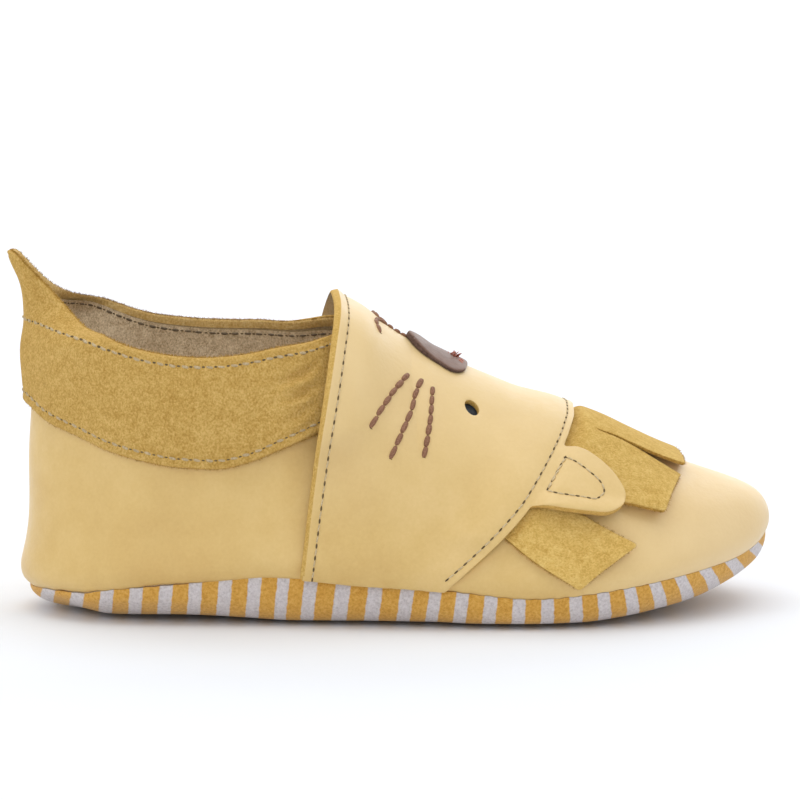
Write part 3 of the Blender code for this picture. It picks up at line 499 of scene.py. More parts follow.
def settle(p):
    """Set of the worn form: the heel peak pinched and bent, the rim sagging at the panel."""
    x, y, z = p[..., 0], p[..., 1], p[..., 2]
    back, heel = ease((-46 - x) / 8), ease((-56 - x) / 5)
    peak = ease((z - 47) / 7) * back * (1 - 0.5 * ease((z - 56) / 5))
    waist = 1.25 * np.exp(-(((z - 54) / 3.4) ** 2)) + 0.7 * np.exp(-(((z - 49.5) / 2.8) ** 2))
    new_x = x + waist * back * (1 - 0.8 * ease(y / 4))
    new_x = new_x - (0.5 * np.exp(-(((z - 27) / 8) ** 2)) + 0.3 * np.exp(-(((z - 43.5) / 4) ** 2))) * heel
    new_x = new_x - 0.45 * ease((z - 55) / 5) * back
    new_z = z + 1.5 * ease((z - 54) / 6.5) * back
    new_z = np.where(new_z > 60.4, 60.4 + 1.6 * np.tanh((new_z - 60.4) / 1.6), new_z)
    sag = ease(y / 6) * (0.8 * np.exp(-(((x + 38) / 9) ** 2)) - 1.5 * np.exp(-(((x + 16) / 6) ** 2)))
    sag = sag + ease(y / 6) * 1.6 * np.exp(-(((x + 50) / 7) ** 2))
    sag = sag - ease(-y / 6) * 0.8 * np.exp(-(((x + 15) / 4) ** 2))
    new_z = new_z + sag * ease((z - 36) / 8) * ease((-4 - x) / 5)
    new_z = new_z - ease(-y / 6) * 1.8 * np.exp(-(((x + 53.5) / 4.6) ** 2)) * ease((z - 48.2) / 3.7)
    return np.stack([new_x, y * (1 - 0.5 * peak), new_z], -1)


def spring(p):
    """Soft sole: its edge stands a little off the floor, and the turned seam puckers."""
    x, y, z = p[..., 0], p[..., 1], p[..., 2]
    edge = np.maximum(ease((np.abs(y) - 12) / 8), ease((-48 - x) / 10)) * (1 - 0.7 * ease((x - 36) / 18))
    up = (0.9 - 0.55 * np.exp(-(((x + 5) / 14) ** 2))) * edge * np.exp(-((np.maximum(z - 5, 0) / 6) ** 2))
    up = up + 0.85 * ease((-16 - x) / 24) * ease((np.abs(y) - 4) / 6) * (1 - ease((z - 1) / 3.5))
    ridge = np.interp(x, SEC["x_t"][THROAT_ROW:], SEC["z_t"][THROAT_ROW:])
    up = up - 0.95 * ease((x - 37) / 13) * ease((z - ridge + 7) / 7)
    pucker = 0.07 * np.sin(2.3 * x + 0.8 * np.sin(0.31 * x)) * edge * np.exp(-(((z - 5) / 2.2) ** 2))
    return np.stack([x, y, z + up + pucker], -1)


# ------------------------------------------------------------------ mesh tools
def srgb(r, g, b):
    c = np.array([r, g, b], float) / 255
    return tuple(np.where(c <= 0.04045, c / 12.92, ((c + 0.055) / 1.055) ** 2.4).tolist())


class Build:
    """Collects points, faces and point values of one piece."""

    def __init__(self):
        self.points, self.faces, self.marks, self.values, self.count = [], [], [], {}, 0

    def add(self, points, faces, mark=0, **values):
        points = np.asarray(points, float).reshape(-1, 3)
        faces = np.asarray(faces, int)
        if faces.shape[1] == 3:
            faces = np.concatenate([faces, faces[:, 2:]], 1)
        self.points.append(points)
        self.faces.append(faces + self.count)
        self.marks.append(np.broadcast_to(np.asarray(mark, int), (len(faces),)))
        for key, value in values.items():
            self.values.setdefault(key, []).append((self.count, np.asarray(value, float).reshape(-1)))
        self.count += len(points)

    def grid(self, points, mark=0, wrap=False, **values):
        rows, cols = points.shape[:2]
        index = np.arange(rows * cols).reshape(rows, cols)
        if wrap:
            index = np.concatenate([index, index[:, :1]], 1)
        f = np.stack([index[:-1, :-1], index[1:, :-1], index[1:, 1:], index[:-1, 1:]], -1).reshape(-1, 4)
        self.add(points, f, mark, **values)

    def object(self, name, materials, weld=True, sharp=50, outward=True, worn=False):
        points = np.concatenate(self.points)
        points = spring(settle(points) if worn else points)
        faces, marks = np.concatenate(self.faces), np.concatenate(self.marks)
        values = {}
        for key, parts in self.values.items():
            values[key] = np.zeros(len(points))
            for start, part in parts:
                values[key][start : start + len(part)] = part
        if weld:
            _, first, back = np.unique(np.round(points * 1000).astype(np.int64), axis=0, return_index=True, return_inverse=True)
            back = back.reshape(-1)
            points, faces = points[first], back[faces]
            values = {key: value[first] for key, value in values.items()}
        polys, keep = [], []
        for i, f in enumerate(faces.tolist()):
            ring = [v for k, v in enumerate(f) if v != f[k - 1]]
            if len(set(ring)) == len(ring) > 2:
                polys.append(ring)
                keep.append(i)
        mesh = bpy.data.meshes.new(name)
        mesh.from_pydata(((points - [CENTRE_X, CENTRE_Y, 0]) * MM).tolist(), [], polys)
        mesh.polygons.foreach_set("material_index", marks[keep].astype(np.int32))
        for key, value in values.items():
            mesh.attributes.new(key, "FLOAT", "POINT").data.foreach_set("value", value.astype(np.float32))
        mesh.update()
        if outward:
            import bmesh

            bm = bmesh.new()
            bm.from_mesh(mesh)
            bmesh.ops.recalc_face_normals(bm, faces=bm.faces[:])
            if bm.calc_volume(signed=True) < 0:
                bmesh.ops.reverse_faces(bm, faces=bm.faces[:])
            bm.to_mesh(mesh)
            bm.free()
        mesh.shade_smooth()
        if sharp:
            mesh.set_sharp_from_angle(angle=np.radians(sharp))
        for m in materials:
            mesh.materials.append(m)
        piece = bpy.data.objects.new(name, mesh)
        bpy.context.scene.collection.objects.link(piece)
        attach(piece, "root")
        return piece


def dress(piece, slot, *nodes):
    if nodes:
        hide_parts(*nodes)
    return piece


def run_of(points):
    return np.concatenate([[0], np.cumsum(np.linalg.norm(np.diff(points, axis=0), axis=-1))])


def resample(points, step):
    points = np.asarray(points, float)
    run = run_of(points)
    at = np.linspace(0, run[-1], max(int(round(run[-1] / step)), 2) + 1)
    return np.stack([np.interp(at, run, points[:, k]) for k in range(points.shape[1])], 1)


def spline(points, step):
    """Smooth open curve through a few points."""
    points = np.asarray(points, float)
    run = run_of(points)
    at = np.linspace(0, run[-1], max(int(round(run[-1] / step)), 2) + 1)
    m = np.gradient(points, run, axis=0)
    j = np.clip(np.searchsorted(run, at) - 1, 0, len(run) - 2)
    h = (run[j + 1] - run[j])[:, None]
    u = ((at - run[j]) / h[:, 0])[:, None]
    return (
        (1 + 2 * u) * (1 - u) ** 2 * points[j]
        + u * (1 - u) ** 2 * h * m[j]
        + u * u * (3 - 2 * u) * points[j + 1]
        + u * u * (u - 1) * h * m[j + 1]
    )


def round_off(ring, passes):
    for _ in range(passes):
        ring = 0.25 * np.roll(ring, 1, 0) + 0.5 * ring + 0.25 * np.roll(ring, -1, 0)
    return ring


def area_of(ring):
    x, y = ring[:, 0], ring[:, 1]
    return 0.5 * np.sum(x * np.roll(y, -1) - np.roll(x, -1) * y)


def inset(ring, d):
    a, b = ring - np.roll(ring, 1, 0), np.roll(ring, -1, 0) - ring
    na = np.stack([-a[:, 1], a[:, 0]], 1) / np.linalg.norm(a, axis=1, keepdims=True)
    nb = np.stack([-b[:, 1], b[:, 0]], 1) / np.linalg.norm(b, axis=1, keepdims=True)
    m = na + nb
    return ring + d * 2 * m / np.maximum((m * m).sum(1, keepdims=True), 0.8)


def inside(q, ring):
    a, b = ring, np.roll(ring, -1, 0)
    out = np.zeros(len(q), bool)
    for k in range(0, len(q), 4000):
        p = q[k : k + 4000, None]
        cross = (a[:, 1] > p[..., 1]) != (b[:, 1] > p[..., 1])
        dy = np.where(b[:, 1] == a[:, 1], 1e-12, b[:, 1] - a[:, 1])
        at = a[:, 0] + (p[..., 1] - a[:, 1]) / dy * (b[:, 0] - a[:, 0])
        out[k : k + 4000] = (cross & (p[..., 0] < at)).sum(1) % 2 == 1
    return out


def nearness(q, line, closed=False):
    """Distance of each point to a polyline."""
    a = line if closed else line[:-1]
    b = np.roll(line, -1, 0) if closed else line[1:]
    ab = b - a
    out = np.empty(len(q))
    for k in range(0, len(q), 3000):
        p = q[k : k + 3000, None]
        u = np.clip(((p - a) * ab).sum(-1) / np.maximum((ab * ab).sum(-1), 1e-12), 0, 1)
        out[k : k + 3000] = np.sqrt((((p - a) - ab * u[..., None]) ** 2).sum(-1)).min(1)
    return out


RINGS = (0.0, 0.05, 0.13, 0.25, 0.42, 0.68, 0.95)
BAND_RINGS = (0.0, 0.05, 0.13, 0.25, 0.42, 0.7, 1.05, 1.45)


class Leaf:
    """A flat cut piece: outline and holes filled with even triangles, with rings of
    points along every edge so that the cut edge can be rounded."""

    def __init__(self, outline, holes=(), step=0.6, corner=2):
        ring = np.concatenate([resample(part, step * 0.8)[:-1] for part in outline])
        ring = round_off(ring, corner)
        if area_of(ring) < 0:
            ring = ring[::-1]
        loops = [ring] + [h if area_of(h) < 0 else h[::-1] for h in holes]
        points, edges, self.loops, dist = [], [], [], []
        count = 0
        for loop in loops:
            n = len(loop)
            self.loops.append(count + np.arange(n))
            edges += [(count + i, count + (i + 1) % n) for i in range(n)]
            for d in RINGS:
                points.append(inset(loop, d) if d else loop)
                dist.append(np.full(n, d))
                count += n
        lo, hi = ring.min(0), ring.max(0)
        rows = np.arange(lo[1], hi[1], step * 0.866)
        cols = np.arange(lo[0], hi[0] + step, step)
        q = np.stack(np.meshgrid(cols, rows), -1)
        q[1::2, :, 0] += step / 2
        q = q.reshape(-1, 2)
        q = q[inside(q, ring)]
        for loop in loops:
            q = q[nearness(q, loop, True) > RINGS[-1] + 0.45 * step]
        for loop in loops[1:]:
            q = q[~inside(q, loop)]
        points.append(q)
        dist.append(np.full(len(q), 9.0))
        flat = np.concatenate(points)
        verts, _, tris, source, _, _ = delaunay_2d_cdt([Vector(v) for v in flat.tolist()], edges, [], 0, 1e-9)
        order = np.array([s[0] if s else -1 for s in source])
        tri = order[np.array([t[:3] for t in tris])]
        tri = tri[(tri >= 0).all(1)]
        middle = flat[tri].mean(1)
        good = inside(middle, ring)
        for loop in loops[1:]:
            good &= ~inside(middle, loop)
        tri = tri[good]
        a, b, c = flat[tri[:, 0]], flat[tri[:, 1]], flat[tri[:, 2]]
        turn = (b[:, 0] - a[:, 0]) * (c[:, 1] - a[:, 1]) - (b[:, 1] - a[:, 1]) * (c[:, 0] - a[:, 0])
        tri[turn < 0] = tri[turn < 0][:, ::-1]
        self.q, self.tri, self.e = flat, tri, np.concatenate(dist)

    def normals(self, p, like):
        n = np.zeros_like(p)
        a, b, c = p[self.tri[:, 0]], p[self.tri[:, 1]], p[self.tri[:, 2]]
        f = np.cross(b - a, c - a)
        for k in range(3):
            np.add.at(n, self.tri[:, k], f)
        n /= np.maximum(np.linalg.norm(n, axis=1, keepdims=True), 1e-12)
        return n * np.where((n * like).sum(1) < 0, -1, 1)[:, None]

    def solid(self, p, n, low, high, flat=0.35, radius=0.42, marks=(0, 1, 2)):
        """Closed piece between two heights over a face, its cut edge rounded."""
        u = np.clip(1 - self.e / radius, 0, 1)
        h = flat + (1 - flat) * np.sqrt(1 - u * u)
        mid, half = (low + high) / 2, (high - low) / 2
        top, under = p + n * (mid + half * h)[:, None], p + n * (mid - half * h)[:, None]
        b, count = Build(), len(p)
        e = np.minimum(self.e, 2.0)
        b.add(np.concatenate([top, under]), self.tri, marks[0], edge=np.concatenate([e, e]))
        b.faces.append(self.tri[:, [0, 2, 1, 1]] + count)
        b.marks.append(np.full(len(self.tri), marks[2]))
        for loop in self.loops:
            nxt = np.roll(loop, -1)
            b.faces.append(np.stack([loop, loop + count, nxt + count, nxt], 1))
            b.marks.append(np.full(len(loop), marks[1]))
        return b


# -------------------------------------------------------------------- materials
class Nodes:
    def __init__(self, name):
        self.material = bpy.data.materials.new(name)
        self.material.use_nodes = True
        self.tree = self.material.node_tree
        self.shader = self.tree.nodes["Principled BSDF"]
        self.where = self.node("ShaderNodeTexCoord").outputs["Object"]

    def node(self, kind, **settings):
        n = self.tree.nodes.new(kind)
        for key, value in settings.items():
            setattr(n, key, value)
        return n

    def link(self, a, b):
        self.tree.links.new(a, b)

    def put(self, **values):
        for key, value in values.items():
            self.shader.inputs[key.replace("_", " ")].default_value = value

    def noise(self, scale, detail=3.0, rough=0.55, stretch=None, distort=0.0):
        n = self.node("ShaderNodeTexNoise")
        n.inputs["Scale"].default_value = scale
        n.inputs["Detail"].default_value = detail
        n.inputs["Roughness"].default_value = rough
        n.inputs["Distortion"].default_value = distort
        source = self.where
        if stretch:
            m = self.node("ShaderNodeMapping")
            m.inputs["Scale"].default_value = stretch
            self.link(source, m.inputs["Vector"])
            source = m.outputs["Vector"]
        self.link(source, n.inputs["Vector"])
        return n.outputs["Fac"]

    def cells(self, scale, smooth=0.6):
        n = self.node("ShaderNodeTexVoronoi", feature="SMOOTH_F1")
        n.inputs["Scale"].default_value = scale
        n.inputs["Smoothness"].default_value = smooth
        self.link(self.where, n.inputs["Vector"])
        return n.outputs["Distance"]

    def value(self, name):
        return self.node("ShaderNodeAttribute", attribute_name=name).outputs["Fac"]

    def math(self, kind, a, b=None, c=None):
        n = self.node("ShaderNodeMath", operation=kind)
        for k, v in enumerate((a, b, c)):
            if v is None:
                continue
            if isinstance(v, (int, float)):
                n.inputs[k].default_value = v
            else:
                self.link(v, n.inputs[k])
        return n.outputs[0]

    def ramp(self, fac, stops, mode="LINEAR"):
        n = self.node("ShaderNodeValToRGB")
        n.color_ramp.interpolation = mode
        els = n.color_ramp.elements
        while len(els) < len(stops):
            els.new(0.5)
        for el, (at, rgb) in zip(els, stops):
            el.position = at
            el.color = (*rgb, 1)
        self.link(fac, n.inputs["Fac"])
        return n.outputs["Color"]

    def spread(self, fac, low, high, a=0.3, b=0.7):
        n = self.node("ShaderNodeMapRange")
        n.inputs["From Min"].default_value, n.inputs["From Max"].default_value = a, b
        n.inputs["To Min"].default_value, n.inputs["To Max"].default_value = low, high
        self.link(fac, n.inputs["Value"])
        return n.outputs["Result"]

    def mix(self, fac, a, b, kind="MIX"):
        n = self.node("ShaderNodeMix", data_type="RGBA", blend_type=kind)
        if isinstance(fac, (int, float)):
            n.inputs["Factor"].default_value = fac
        else:
            self.link(fac, n.inputs["Factor"])
        for key, v in (("A", a), ("B", b)):
            socket = [i for i in n.inputs if i.name == key and i.type == "RGBA"][0]
            if isinstance(v, tuple):
                socket.default_value = (*v, 1)
            else:
                self.link(v, socket)
        return [o for o in n.outputs if o.type == "RGBA"][0]

    def bump(self, height, strength, distance, under=None):
        n = self.node("ShaderNodeBump")
        n.inputs["Strength"].default_value = strength
        n.inputs["Distance"].default_value = distance
        self.link(height, n.inputs["Height"])
        if under:
            self.link(under, n.inputs["Normal"])
        return n.outputs["Normal"]

    def base(self, socket):
        self.link(socket, self.shader.inputs["Base Color"])

    def finish(self, normal=None, rough=None):
        if normal:
            self.link(normal, self.shader.inputs["Normal"])
        if rough:
            self.link(rough, self.shader.inputs["Roughness"])
        return self.material


def leather(name, tones, grain=1.0, coat=0.2, spec=0.5, pale=None, axis="X", span=(0.026, 0.056), painted_highlight_most=0.6):
    """Smooth dyed leather: clouded colour, fine pebble grain, soft gloss; with `pale`, a painted highlight that blends
    the colour paler along one axis.
    """
    m = Nodes(name)
    cloud = m.math("ADD", m.math("MULTIPLY", m.noise(34, 2, 0.5), 0.52), m.math("MULTIPLY", m.noise(190, 4, 0.6), 0.28))
    cloud = m.math("ADD", cloud, m.math("MULTIPLY", m.noise(1700, 4, 0.65), 0.2))
    colour = m.ramp(cloud, [(0.36, tones[0]), (0.5, tones[1]), (0.64, tones[2])])
    # painted highlight: the colour is blended towards the pale colour along one object axis, up to a set share
    if pale:
        split = m.node("ShaderNodeSeparateXYZ")
        m.link(m.where, split.inputs["Vector"])
        colour = m.mix(m.spread(split.outputs[axis], 0.0, painted_highlight_most, *span), colour, pale)
    m.base(colour)
    pebble = m.bump(m.cells(1500), 0.16 * grain, 0.00014)
    pores = m.bump(m.noise(4200, 2, 0.6), 0.11 * grain, 0.0001, pebble)
    pulls = m.bump(m.noise(160, 3, 0.6, distort=0.4), 0.10 * grain, 0.0006, pores)
    m.put(Specular_IOR_Level=spec, Coat_Weight=coat, Coat_Roughness=0.4, Sheen_Weight=0.12, Sheen_Roughness=0.4)
    return m.finish(pulls, m.spread(m.noise(420, 4, 0.6), 0.40, 0.56))


def suede(name, tones, nap=(1.0, 1.0, 0.8), fleck=0.76, sheen=0.25, bump=0.6, grit=1.0):
    """Napped suede: flecked colour, brushed patches, soft pile."""
    m = Nodes(name)
    fine = m.noise(3400 * grit, 4, 0.74, stretch=nap)
    patch = m.noise(700, 3, 0.6)
    wide = m.noise(90, 2, 0.5)
    mixd = m.math("ADD", m.math("MULTIPLY", fine, fleck), m.math("MULTIPLY", patch, 0.7 * (1 - fleck)))
    mixd = m.math("ADD", mixd, m.math("MULTIPLY", wide, 0.3 * (1 - fleck)))
    m.base(m.ramp(mixd, [(0.38, tones[0]), (0.5, tones[1]), (0.61, tones[2])]))
    pile = m.bump(m.noise(2600 * grit, 4, 0.7, stretch=nap), bump, 0.0004)
    brushed = m.bump(patch, 0.35, 0.0006, pile)
    m.put(Specular_IOR_Level=0.18, Roughness=0.95, Sheen_Weight=sheen, Sheen_Roughness=0.55)
    m.shader.inputs["Sheen Tint"].default_value = (*tones[2], 1)
    return m.finish(brushed)


LEATHER_TONES = (srgb(214, 176, 104), srgb(222, 187, 115), srgb(229, 196, 127))
SUEDE_TONES = (srgb(178, 137, 64), srgb(203, 164, 89), srgb(222, 186, 114))
MANE_TONES = (srgb(188, 148, 72), srgb(212, 175, 96), srgb(228, 196, 122))
TAUPE_TONES = (srgb(164, 140, 108), srgb(212, 189, 155), srgb(242, 222, 190))

# painted highlight: the upper is blended paler towards the toe, and the panel paler higher up, where the light falls on
# them
LEATHER = leather("butter_leather", LEATHER_TONES, pale=srgb(240, 214, 170))
PANEL_LEATHER = leather("butter_leather_panel", (srgb(212, 175, 103), srgb(221, 187, 116), srgb(229, 196, 130)), pale=srgb(232, 204, 150), axis="Z", span=(0.016, 0.042), painted_highlight_most=0.75)
RAW_EDGE = suede("cut_edge_leather", (srgb(188, 150, 78), srgb(206, 168, 92), srgb(222, 188, 114)), sheen=0.1, bump=0.3)
PANEL_BACK = suede("panel_back", (srgb(188, 166, 128), srgb(206, 186, 148), srgb(220, 202, 168)), sheen=0.1)
SUEDE = suede("collar_suede", SUEDE_TONES, nap=(1.0, 1.0, 0.85), fleck=0.7, grit=0.85, bump=0.75)
# inner face of the band: the collar suede painted paler, painted light that brightens the shaded inside of the far rim
SUEDE_IN_PAINTED_LIGHT = suede("collar_suede_inside_painted_light", (srgb(198, 158, 88), srgb(222, 186, 118), srgb(238, 207, 144)), fleck=0.7, grit=0.85)
MANE = suede("mane_suede", MANE_TONES, nap=(0.8, 1.0, 1.0), fleck=0.6)
# lower tabs: the mane suede painted lighter, painted light for their steeper faces that take less light
MANE_LOW_PAINTED_LIGHT = suede("mane_low_suede_painted_light", (srgb(200, 158, 78), srgb(224, 186, 104), srgb(238, 206, 130)), nap=(0.8, 1.0, 1.0), fleck=0.6)
SUEDE_EDGE = suede("suede_cut_edge", (srgb(150, 110, 44), srgb(188, 147, 70), srgb(214, 175, 98)), fleck=0.6, sheen=0.2)
TAUPE = suede("lining_suede", TAUPE_TONES, fleck=0.66, sheen=0.15)
# rim wall of the upper under the band: painted shade, much darker than the lining where the band's overhang shades it
LINING_EDGE_PAINTED_SHADE = suede("lining_edge_painted_shade", (srgb(92, 76, 52), srgb(126, 106, 74), srgb(152, 132, 96)), fleck=0.7, sheen=0.05)


def stripe_suede():
    m = Nodes("striped_sole_suede")
    p, q = m.value("stripe"), m.value("across")
    join = m.node("ShaderNodeCombineXYZ")
    m.link(m.math("MULTIPLY", p, 0.16), join.inputs["X"])
    m.link(m.math("MULTIPLY", q, 0.55), join.inputs["Y"])
    wob = m.node("ShaderNodeTexNoise")
    wob.inputs["Scale"].default_value = 1.0
    wob.inputs["Detail"].default_value = 4.0
    wob.inputs["Roughness"].default_value = 0.6
    m.link(join.outputs["Vector"], wob.inputs["Vector"])
    edge = m.math("ADD", p, m.math("MULTIPLY", m.math("SUBTRACT", wob.outputs["Fac"], 0.5), STRIPE_WOBBLE))
    edge = m.math("ADD", edge, m.math("MULTIPLY", m.math("SUBTRACT", m.noise(1500, 3, 0.6), 0.5), 0.24))
    turn = m.math("FRACT", m.math("DIVIDE", m.math("SUBTRACT", edge, STRIPE_PHASE), STRIPE_PERIOD))
    band = m.math("MULTIPLY", m.spread(turn, 0.0, 1.0, 0.0, 0.035), m.spread(turn, 1.0, 0.0, STRIPE_SHARE - 0.035, STRIPE_SHARE))
    speck = m.noise(2100, 4, 0.68)
    gold = m.ramp(speck, [(0.34, srgb(196, 141, 54)), (0.5, srgb(214, 161, 71)), (0.66, srgb(226, 178, 92))])
    pale = m.ramp(speck, [(0.28, srgb(180, 172, 172)), (0.46, srgb(205, 198, 199)), (0.64, srgb(220, 214, 215))])
    m.base(m.mix(band, gold, pale))
    m.put(Specular_IOR_Level=0.15, Roughness=0.95, Sheen_Weight=0.2, Sheen_Roughness=0.6)
    return m.finish(m.bump(m.noise(2400, 4, 0.7), 0.45, 0.0003))


def plain(name, tones, rough=0.6, scale=1500, bump=0.2, spec=0.3):
    m = Nodes(name)
    n = m.noise(scale, 3, 0.6)
    m.base(m.ramp(n, [(0.35, tones[0]), (0.65, tones[1])]))
    m.put(Specular_IOR_Level=spec)
    return m.finish(m.bump(n, bump, 0.0001), m.spread(n, rough - 0.06, rough + 0.08))


STRIPE_PERIOD, STRIPE_PHASE, STRIPE_SHARE, STRIPE_WOBBLE = 4.948, -60.82, 0.483, 0.38
STRIPES = stripe_suede()
THREAD = plain("seam_thread", (srgb(192, 170, 128), srgb(218, 198, 158)), 0.6, 3500, 0.4)
THREAD_BAND = plain("band_thread", (srgb(172, 150, 112), srgb(206, 186, 148)), 0.7, 3500, 0.4)
THREAD_DARK = plain("lining_thread", (srgb(92, 80, 62), srgb(120, 106, 86)), 0.7, 3500, 0.4)
# needle holes: dark colour painted as the shade in the holes between stitches
NEEDLE_HOLE_PAINTED_SHADE = plain("needle_hole_painted_shade", (srgb(92, 77, 56), srgb(118, 101, 75)), 0.95, 2500, 0.1, 0.05)
BROWN_THREAD = plain("brown_thread", (srgb(122, 83, 60), srgb(160, 118, 92)), 0.55, 4200, 0.5)
# gaps between the whisker stitches: very dark, painted shade
BROWN_GAP_PAINTED_SHADE = plain("brown_thread_gap_painted_shade", (srgb(62, 40, 32), srgb(84, 56, 46)), 0.9, 2500, 0.1, 0.05)
NOSE_TOP = leather("nose_leather", (srgb(106, 80, 69), srgb(128, 100, 87), srgb(150, 122, 108)), 1.6, 0.04, 0.2)
NOSE_EDGE = suede("nose_cut_edge", (srgb(74, 58, 54), srgb(104, 84, 78), srgb(130, 108, 100)), fleck=0.6, sheen=0.05)
EYE_DARK = plain("eye_backing", (srgb(28, 34, 42), srgb(52, 62, 72)), 0.5, 1500, 0.2)
TUFT = plain("tuft_thread", (srgb(170, 96, 78), srgb(206, 132, 112)), 0.7, 3500, 0.3)


# ------------------------------------------------------------------------ upper
def plan_out(side, s):
    q, x, y, z, nx, ny = seam(side, s)
    return stack(nx, ny, 0 * nx)


def rim_look(side, s):
    """Girth fraction of the lining's edge, a step below the edge of the band."""
    z = skin(side, s, 1.0)[..., 2]
    z = z - RIM_STEP - 0.2 - 1.6 * ease((z - 50) / 6)
    t = t_at_height(side, s, np.minimum(z, 57.0))
    return np.where(s > KNOTS[THROAT_ROW] - 1e-6, 1.0, t)


def upper_piece(n_s=230, n_t=64):
    s = np.linspace(0, LENGTH, n_s + 1)
    s[np.abs(s - KNOTS[THROAT_ROW]).argmin()] = KNOTS[THROAT_ROW]
    share = (np.arange(n_t + 1) / n_t) ** 1.15
    b = Build()
    for side in (-1, 1):
        top = rim_look(side, s)
        grid_s, grid_t = np.broadcast_arrays(s[None, :], top[None, :] * share[:, None])
        p, n = surf(side, grid_s, grid_t)
        closed = s >= KNOTS[THROAT_ROW] - 1e-6
        other = face(-side, s[closed], np.ones(closed.sum()))[1]
        n = n.copy()
        n[-1, closed] += other
        n[-1] /= np.linalg.norm(n[-1], axis=-1, keepdims=True)
        p = p.copy()
        for end in (0, -1):  # both sides share their points at heel and toe
            twin, lean = surf(-side, grid_s[:, end], grid_t[:, end])
            p[:, end] = (p[:, end] + twin) / 2
            n[:, end] = n[:, end] + lean
            n[:, end] /= np.linalg.norm(n[:, end], axis=-1, keepdims=True)
        thin = np.where(closed[None, :], 0, ease((share[:, None] - 0.72) / 0.28)) * (0.35 + 0.4 * ease((skin(side, s, 1.0)[..., 2] - 50) / 6))
        inner = p - WALL * (1 - thin)[..., None] * n
        p[0, :, 2] -= 0.12
        turn = p[0] - plan_out(side, s) * 0.8 - np.array([0, 0, 0.04])
        b.grid(np.concatenate([turn[None], p]), 0)
        b.grid(inner, 1)
        b.grid(np.stack([inner[0], turn]), 0)
        rim = ~closed
        k = np.flatnonzero(rim)[-1] + 2
        # rim wall: dark colour, painted shade under the band
        b.grid(np.stack([p[-1, :k], inner[-1, :k]]), 2)
    return dress(b.object("upper_leather", [LEATHER, TAUPE, LINING_EDGE_PAINTED_SHADE], sharp=60, worn=True), "leather", "upper")


# -------------------------------------------------------------- sole and insole
def drift(x):
    """Printed stripes wander a little under the waist of the sole."""
    return x + 0.75 * np.exp(-(((x + 15.5) / 5) ** 2)) - 0.65 * np.exp(-(((x - 1) / 6) ** 2))


def sole_piece(n_s=200, n_u=26, across=28):
    s = np.linspace(0, LENGTH, n_s + 1)
    u = np.linspace(0, 1, n_u + 1)
    b = Build()
    edges = {}
    for side in (-1, 1):
        grid_s, grid_u = np.broadcast_arrays(s[None, :], u[:, None])
        out = dish(side, grid_s, grid_u, 0.0)
        inn = dish(side, grid_s, grid_u, SOLE)
        arc = np.concatenate([np.zeros((1, n_s + 1)), np.cumsum(np.linalg.norm(np.diff(out, axis=0), axis=-1), 0)])
        n = plan_out(side, s)
        stretch = 0.75 * ease((-28 - out[0, :, 0]) / 16)  # the print is pulled upright round the heel
        stripe = (out[0, :, 0] + n[:, 0] * arc) * (1 - stretch) + out[..., 0] * stretch
        cross = out[0, :, 1] + n[:, 1] * arc
        out[-1, :, 2] += 0.1
        turn = out[-1] - n * 0.8 + np.array([0, 0, 0.04])
        stripe = drift(stripe)
        b.grid(np.concatenate([out, turn[None]]), 0, stripe=np.concatenate([stripe, stripe[-1:]]), across=np.concatenate([cross, cross[-1:]]))
        b.grid(inn, 1)
        b.grid(np.stack([turn, inn[-1]]), 1)
        edges[side] = (out[0], inn[0])
    f = np.linspace(0, 1, across + 1)[:, None, None]
    under = edges[-1][0] * (1 - f) + edges[1][0] * f
    b.grid(under, 0, stripe=drift(under[..., 0]), across=under[..., 1])
    b.grid(edges[-1][1] * (1 - f) + edges[1][1] * f, 1)
    return dress(b.object("striped_sole", [STRIPES, TAUPE], sharp=60), "sole_suede", "sole")


def insole_piece(n_s=150, across=30):
    s = np.linspace(0, LENGTH, n_s + 1)
    b = Build()
    rims, bases = {}, {}
    for side in (-1, 1):
        base = dish(side, s, np.zeros(len(s)), SOLE + GAP)
        level = base[:, 2] + INSOLE
        u = np.minimum(solve(np.zeros(len(s)), np.full(len(s), 0.9), lambda v: dish(side, s, v, SOLE + GAP)[:, 2] - level + 0.5), 0.62)
        rows = [dish(side, s, u * k, SOLE + GAP) for k in np.linspace(0, 1, 5)]
        n = tread(side, s)[2]
        rim = rows[-1] - n * 0.35
        rim[:, 2] = np.maximum(level, rows[-1][:, 2] + 0.3)
        b.grid(np.array(rows + [rim]), 0)
        bases[side], rims[side] = rows[0], rim
    f = np.linspace(0, 1, across + 1)[:, None, None]
    top = rims[-1] * (1 - f) + rims[1] * f
    top[..., 2] += 0.25 * np.sin(np.pi * f[..., 0]) * 0.6
    b.grid(top, 0)
    b.grid(bases[-1] * (1 - f) + bases[1] * f, 0)
    return dress(b.object("insole_suede", [TAUPE], sharp=45), "inner_suede", "insole")


# ----------------------------------------------------------------------- collar
STITCH_IN = 1.45  # stitch line inside both edges of the band


def collar_nodes(side, share, rows_e, middle):
    """Stations and girth fractions of the band; rows by distance from its edges."""
    count = 2 * len(rows_e) + middle
    t = np.broadcast_to(np.linspace(0, 1, count), (len(share), count))
    for _ in range(5):
        s = share[:, None] * collar_end(side, t)
        foot = collar_foot(side, s)[:, :1]
        p = skin(side, s, foot + (1 - foot) * np.linspace(0, 1, count))
        width = np.linalg.norm(np.diff(p, axis=1), axis=-1).sum(1, keepdims=True)
        e = np.asarray(rows_e)[None, :] / width
        inner = np.linspace(0, 1, middle + 2)[None, 1:-1]
        v = np.concatenate([e, e[:, -1:] + (1 - 2 * e[:, -1:]) * inner, 1 - e[:, ::-1]], 1)
        t = foot + (1 - foot) * v
    dist = np.minimum(v, 1 - v) * width
    return s, t, v, dist, width


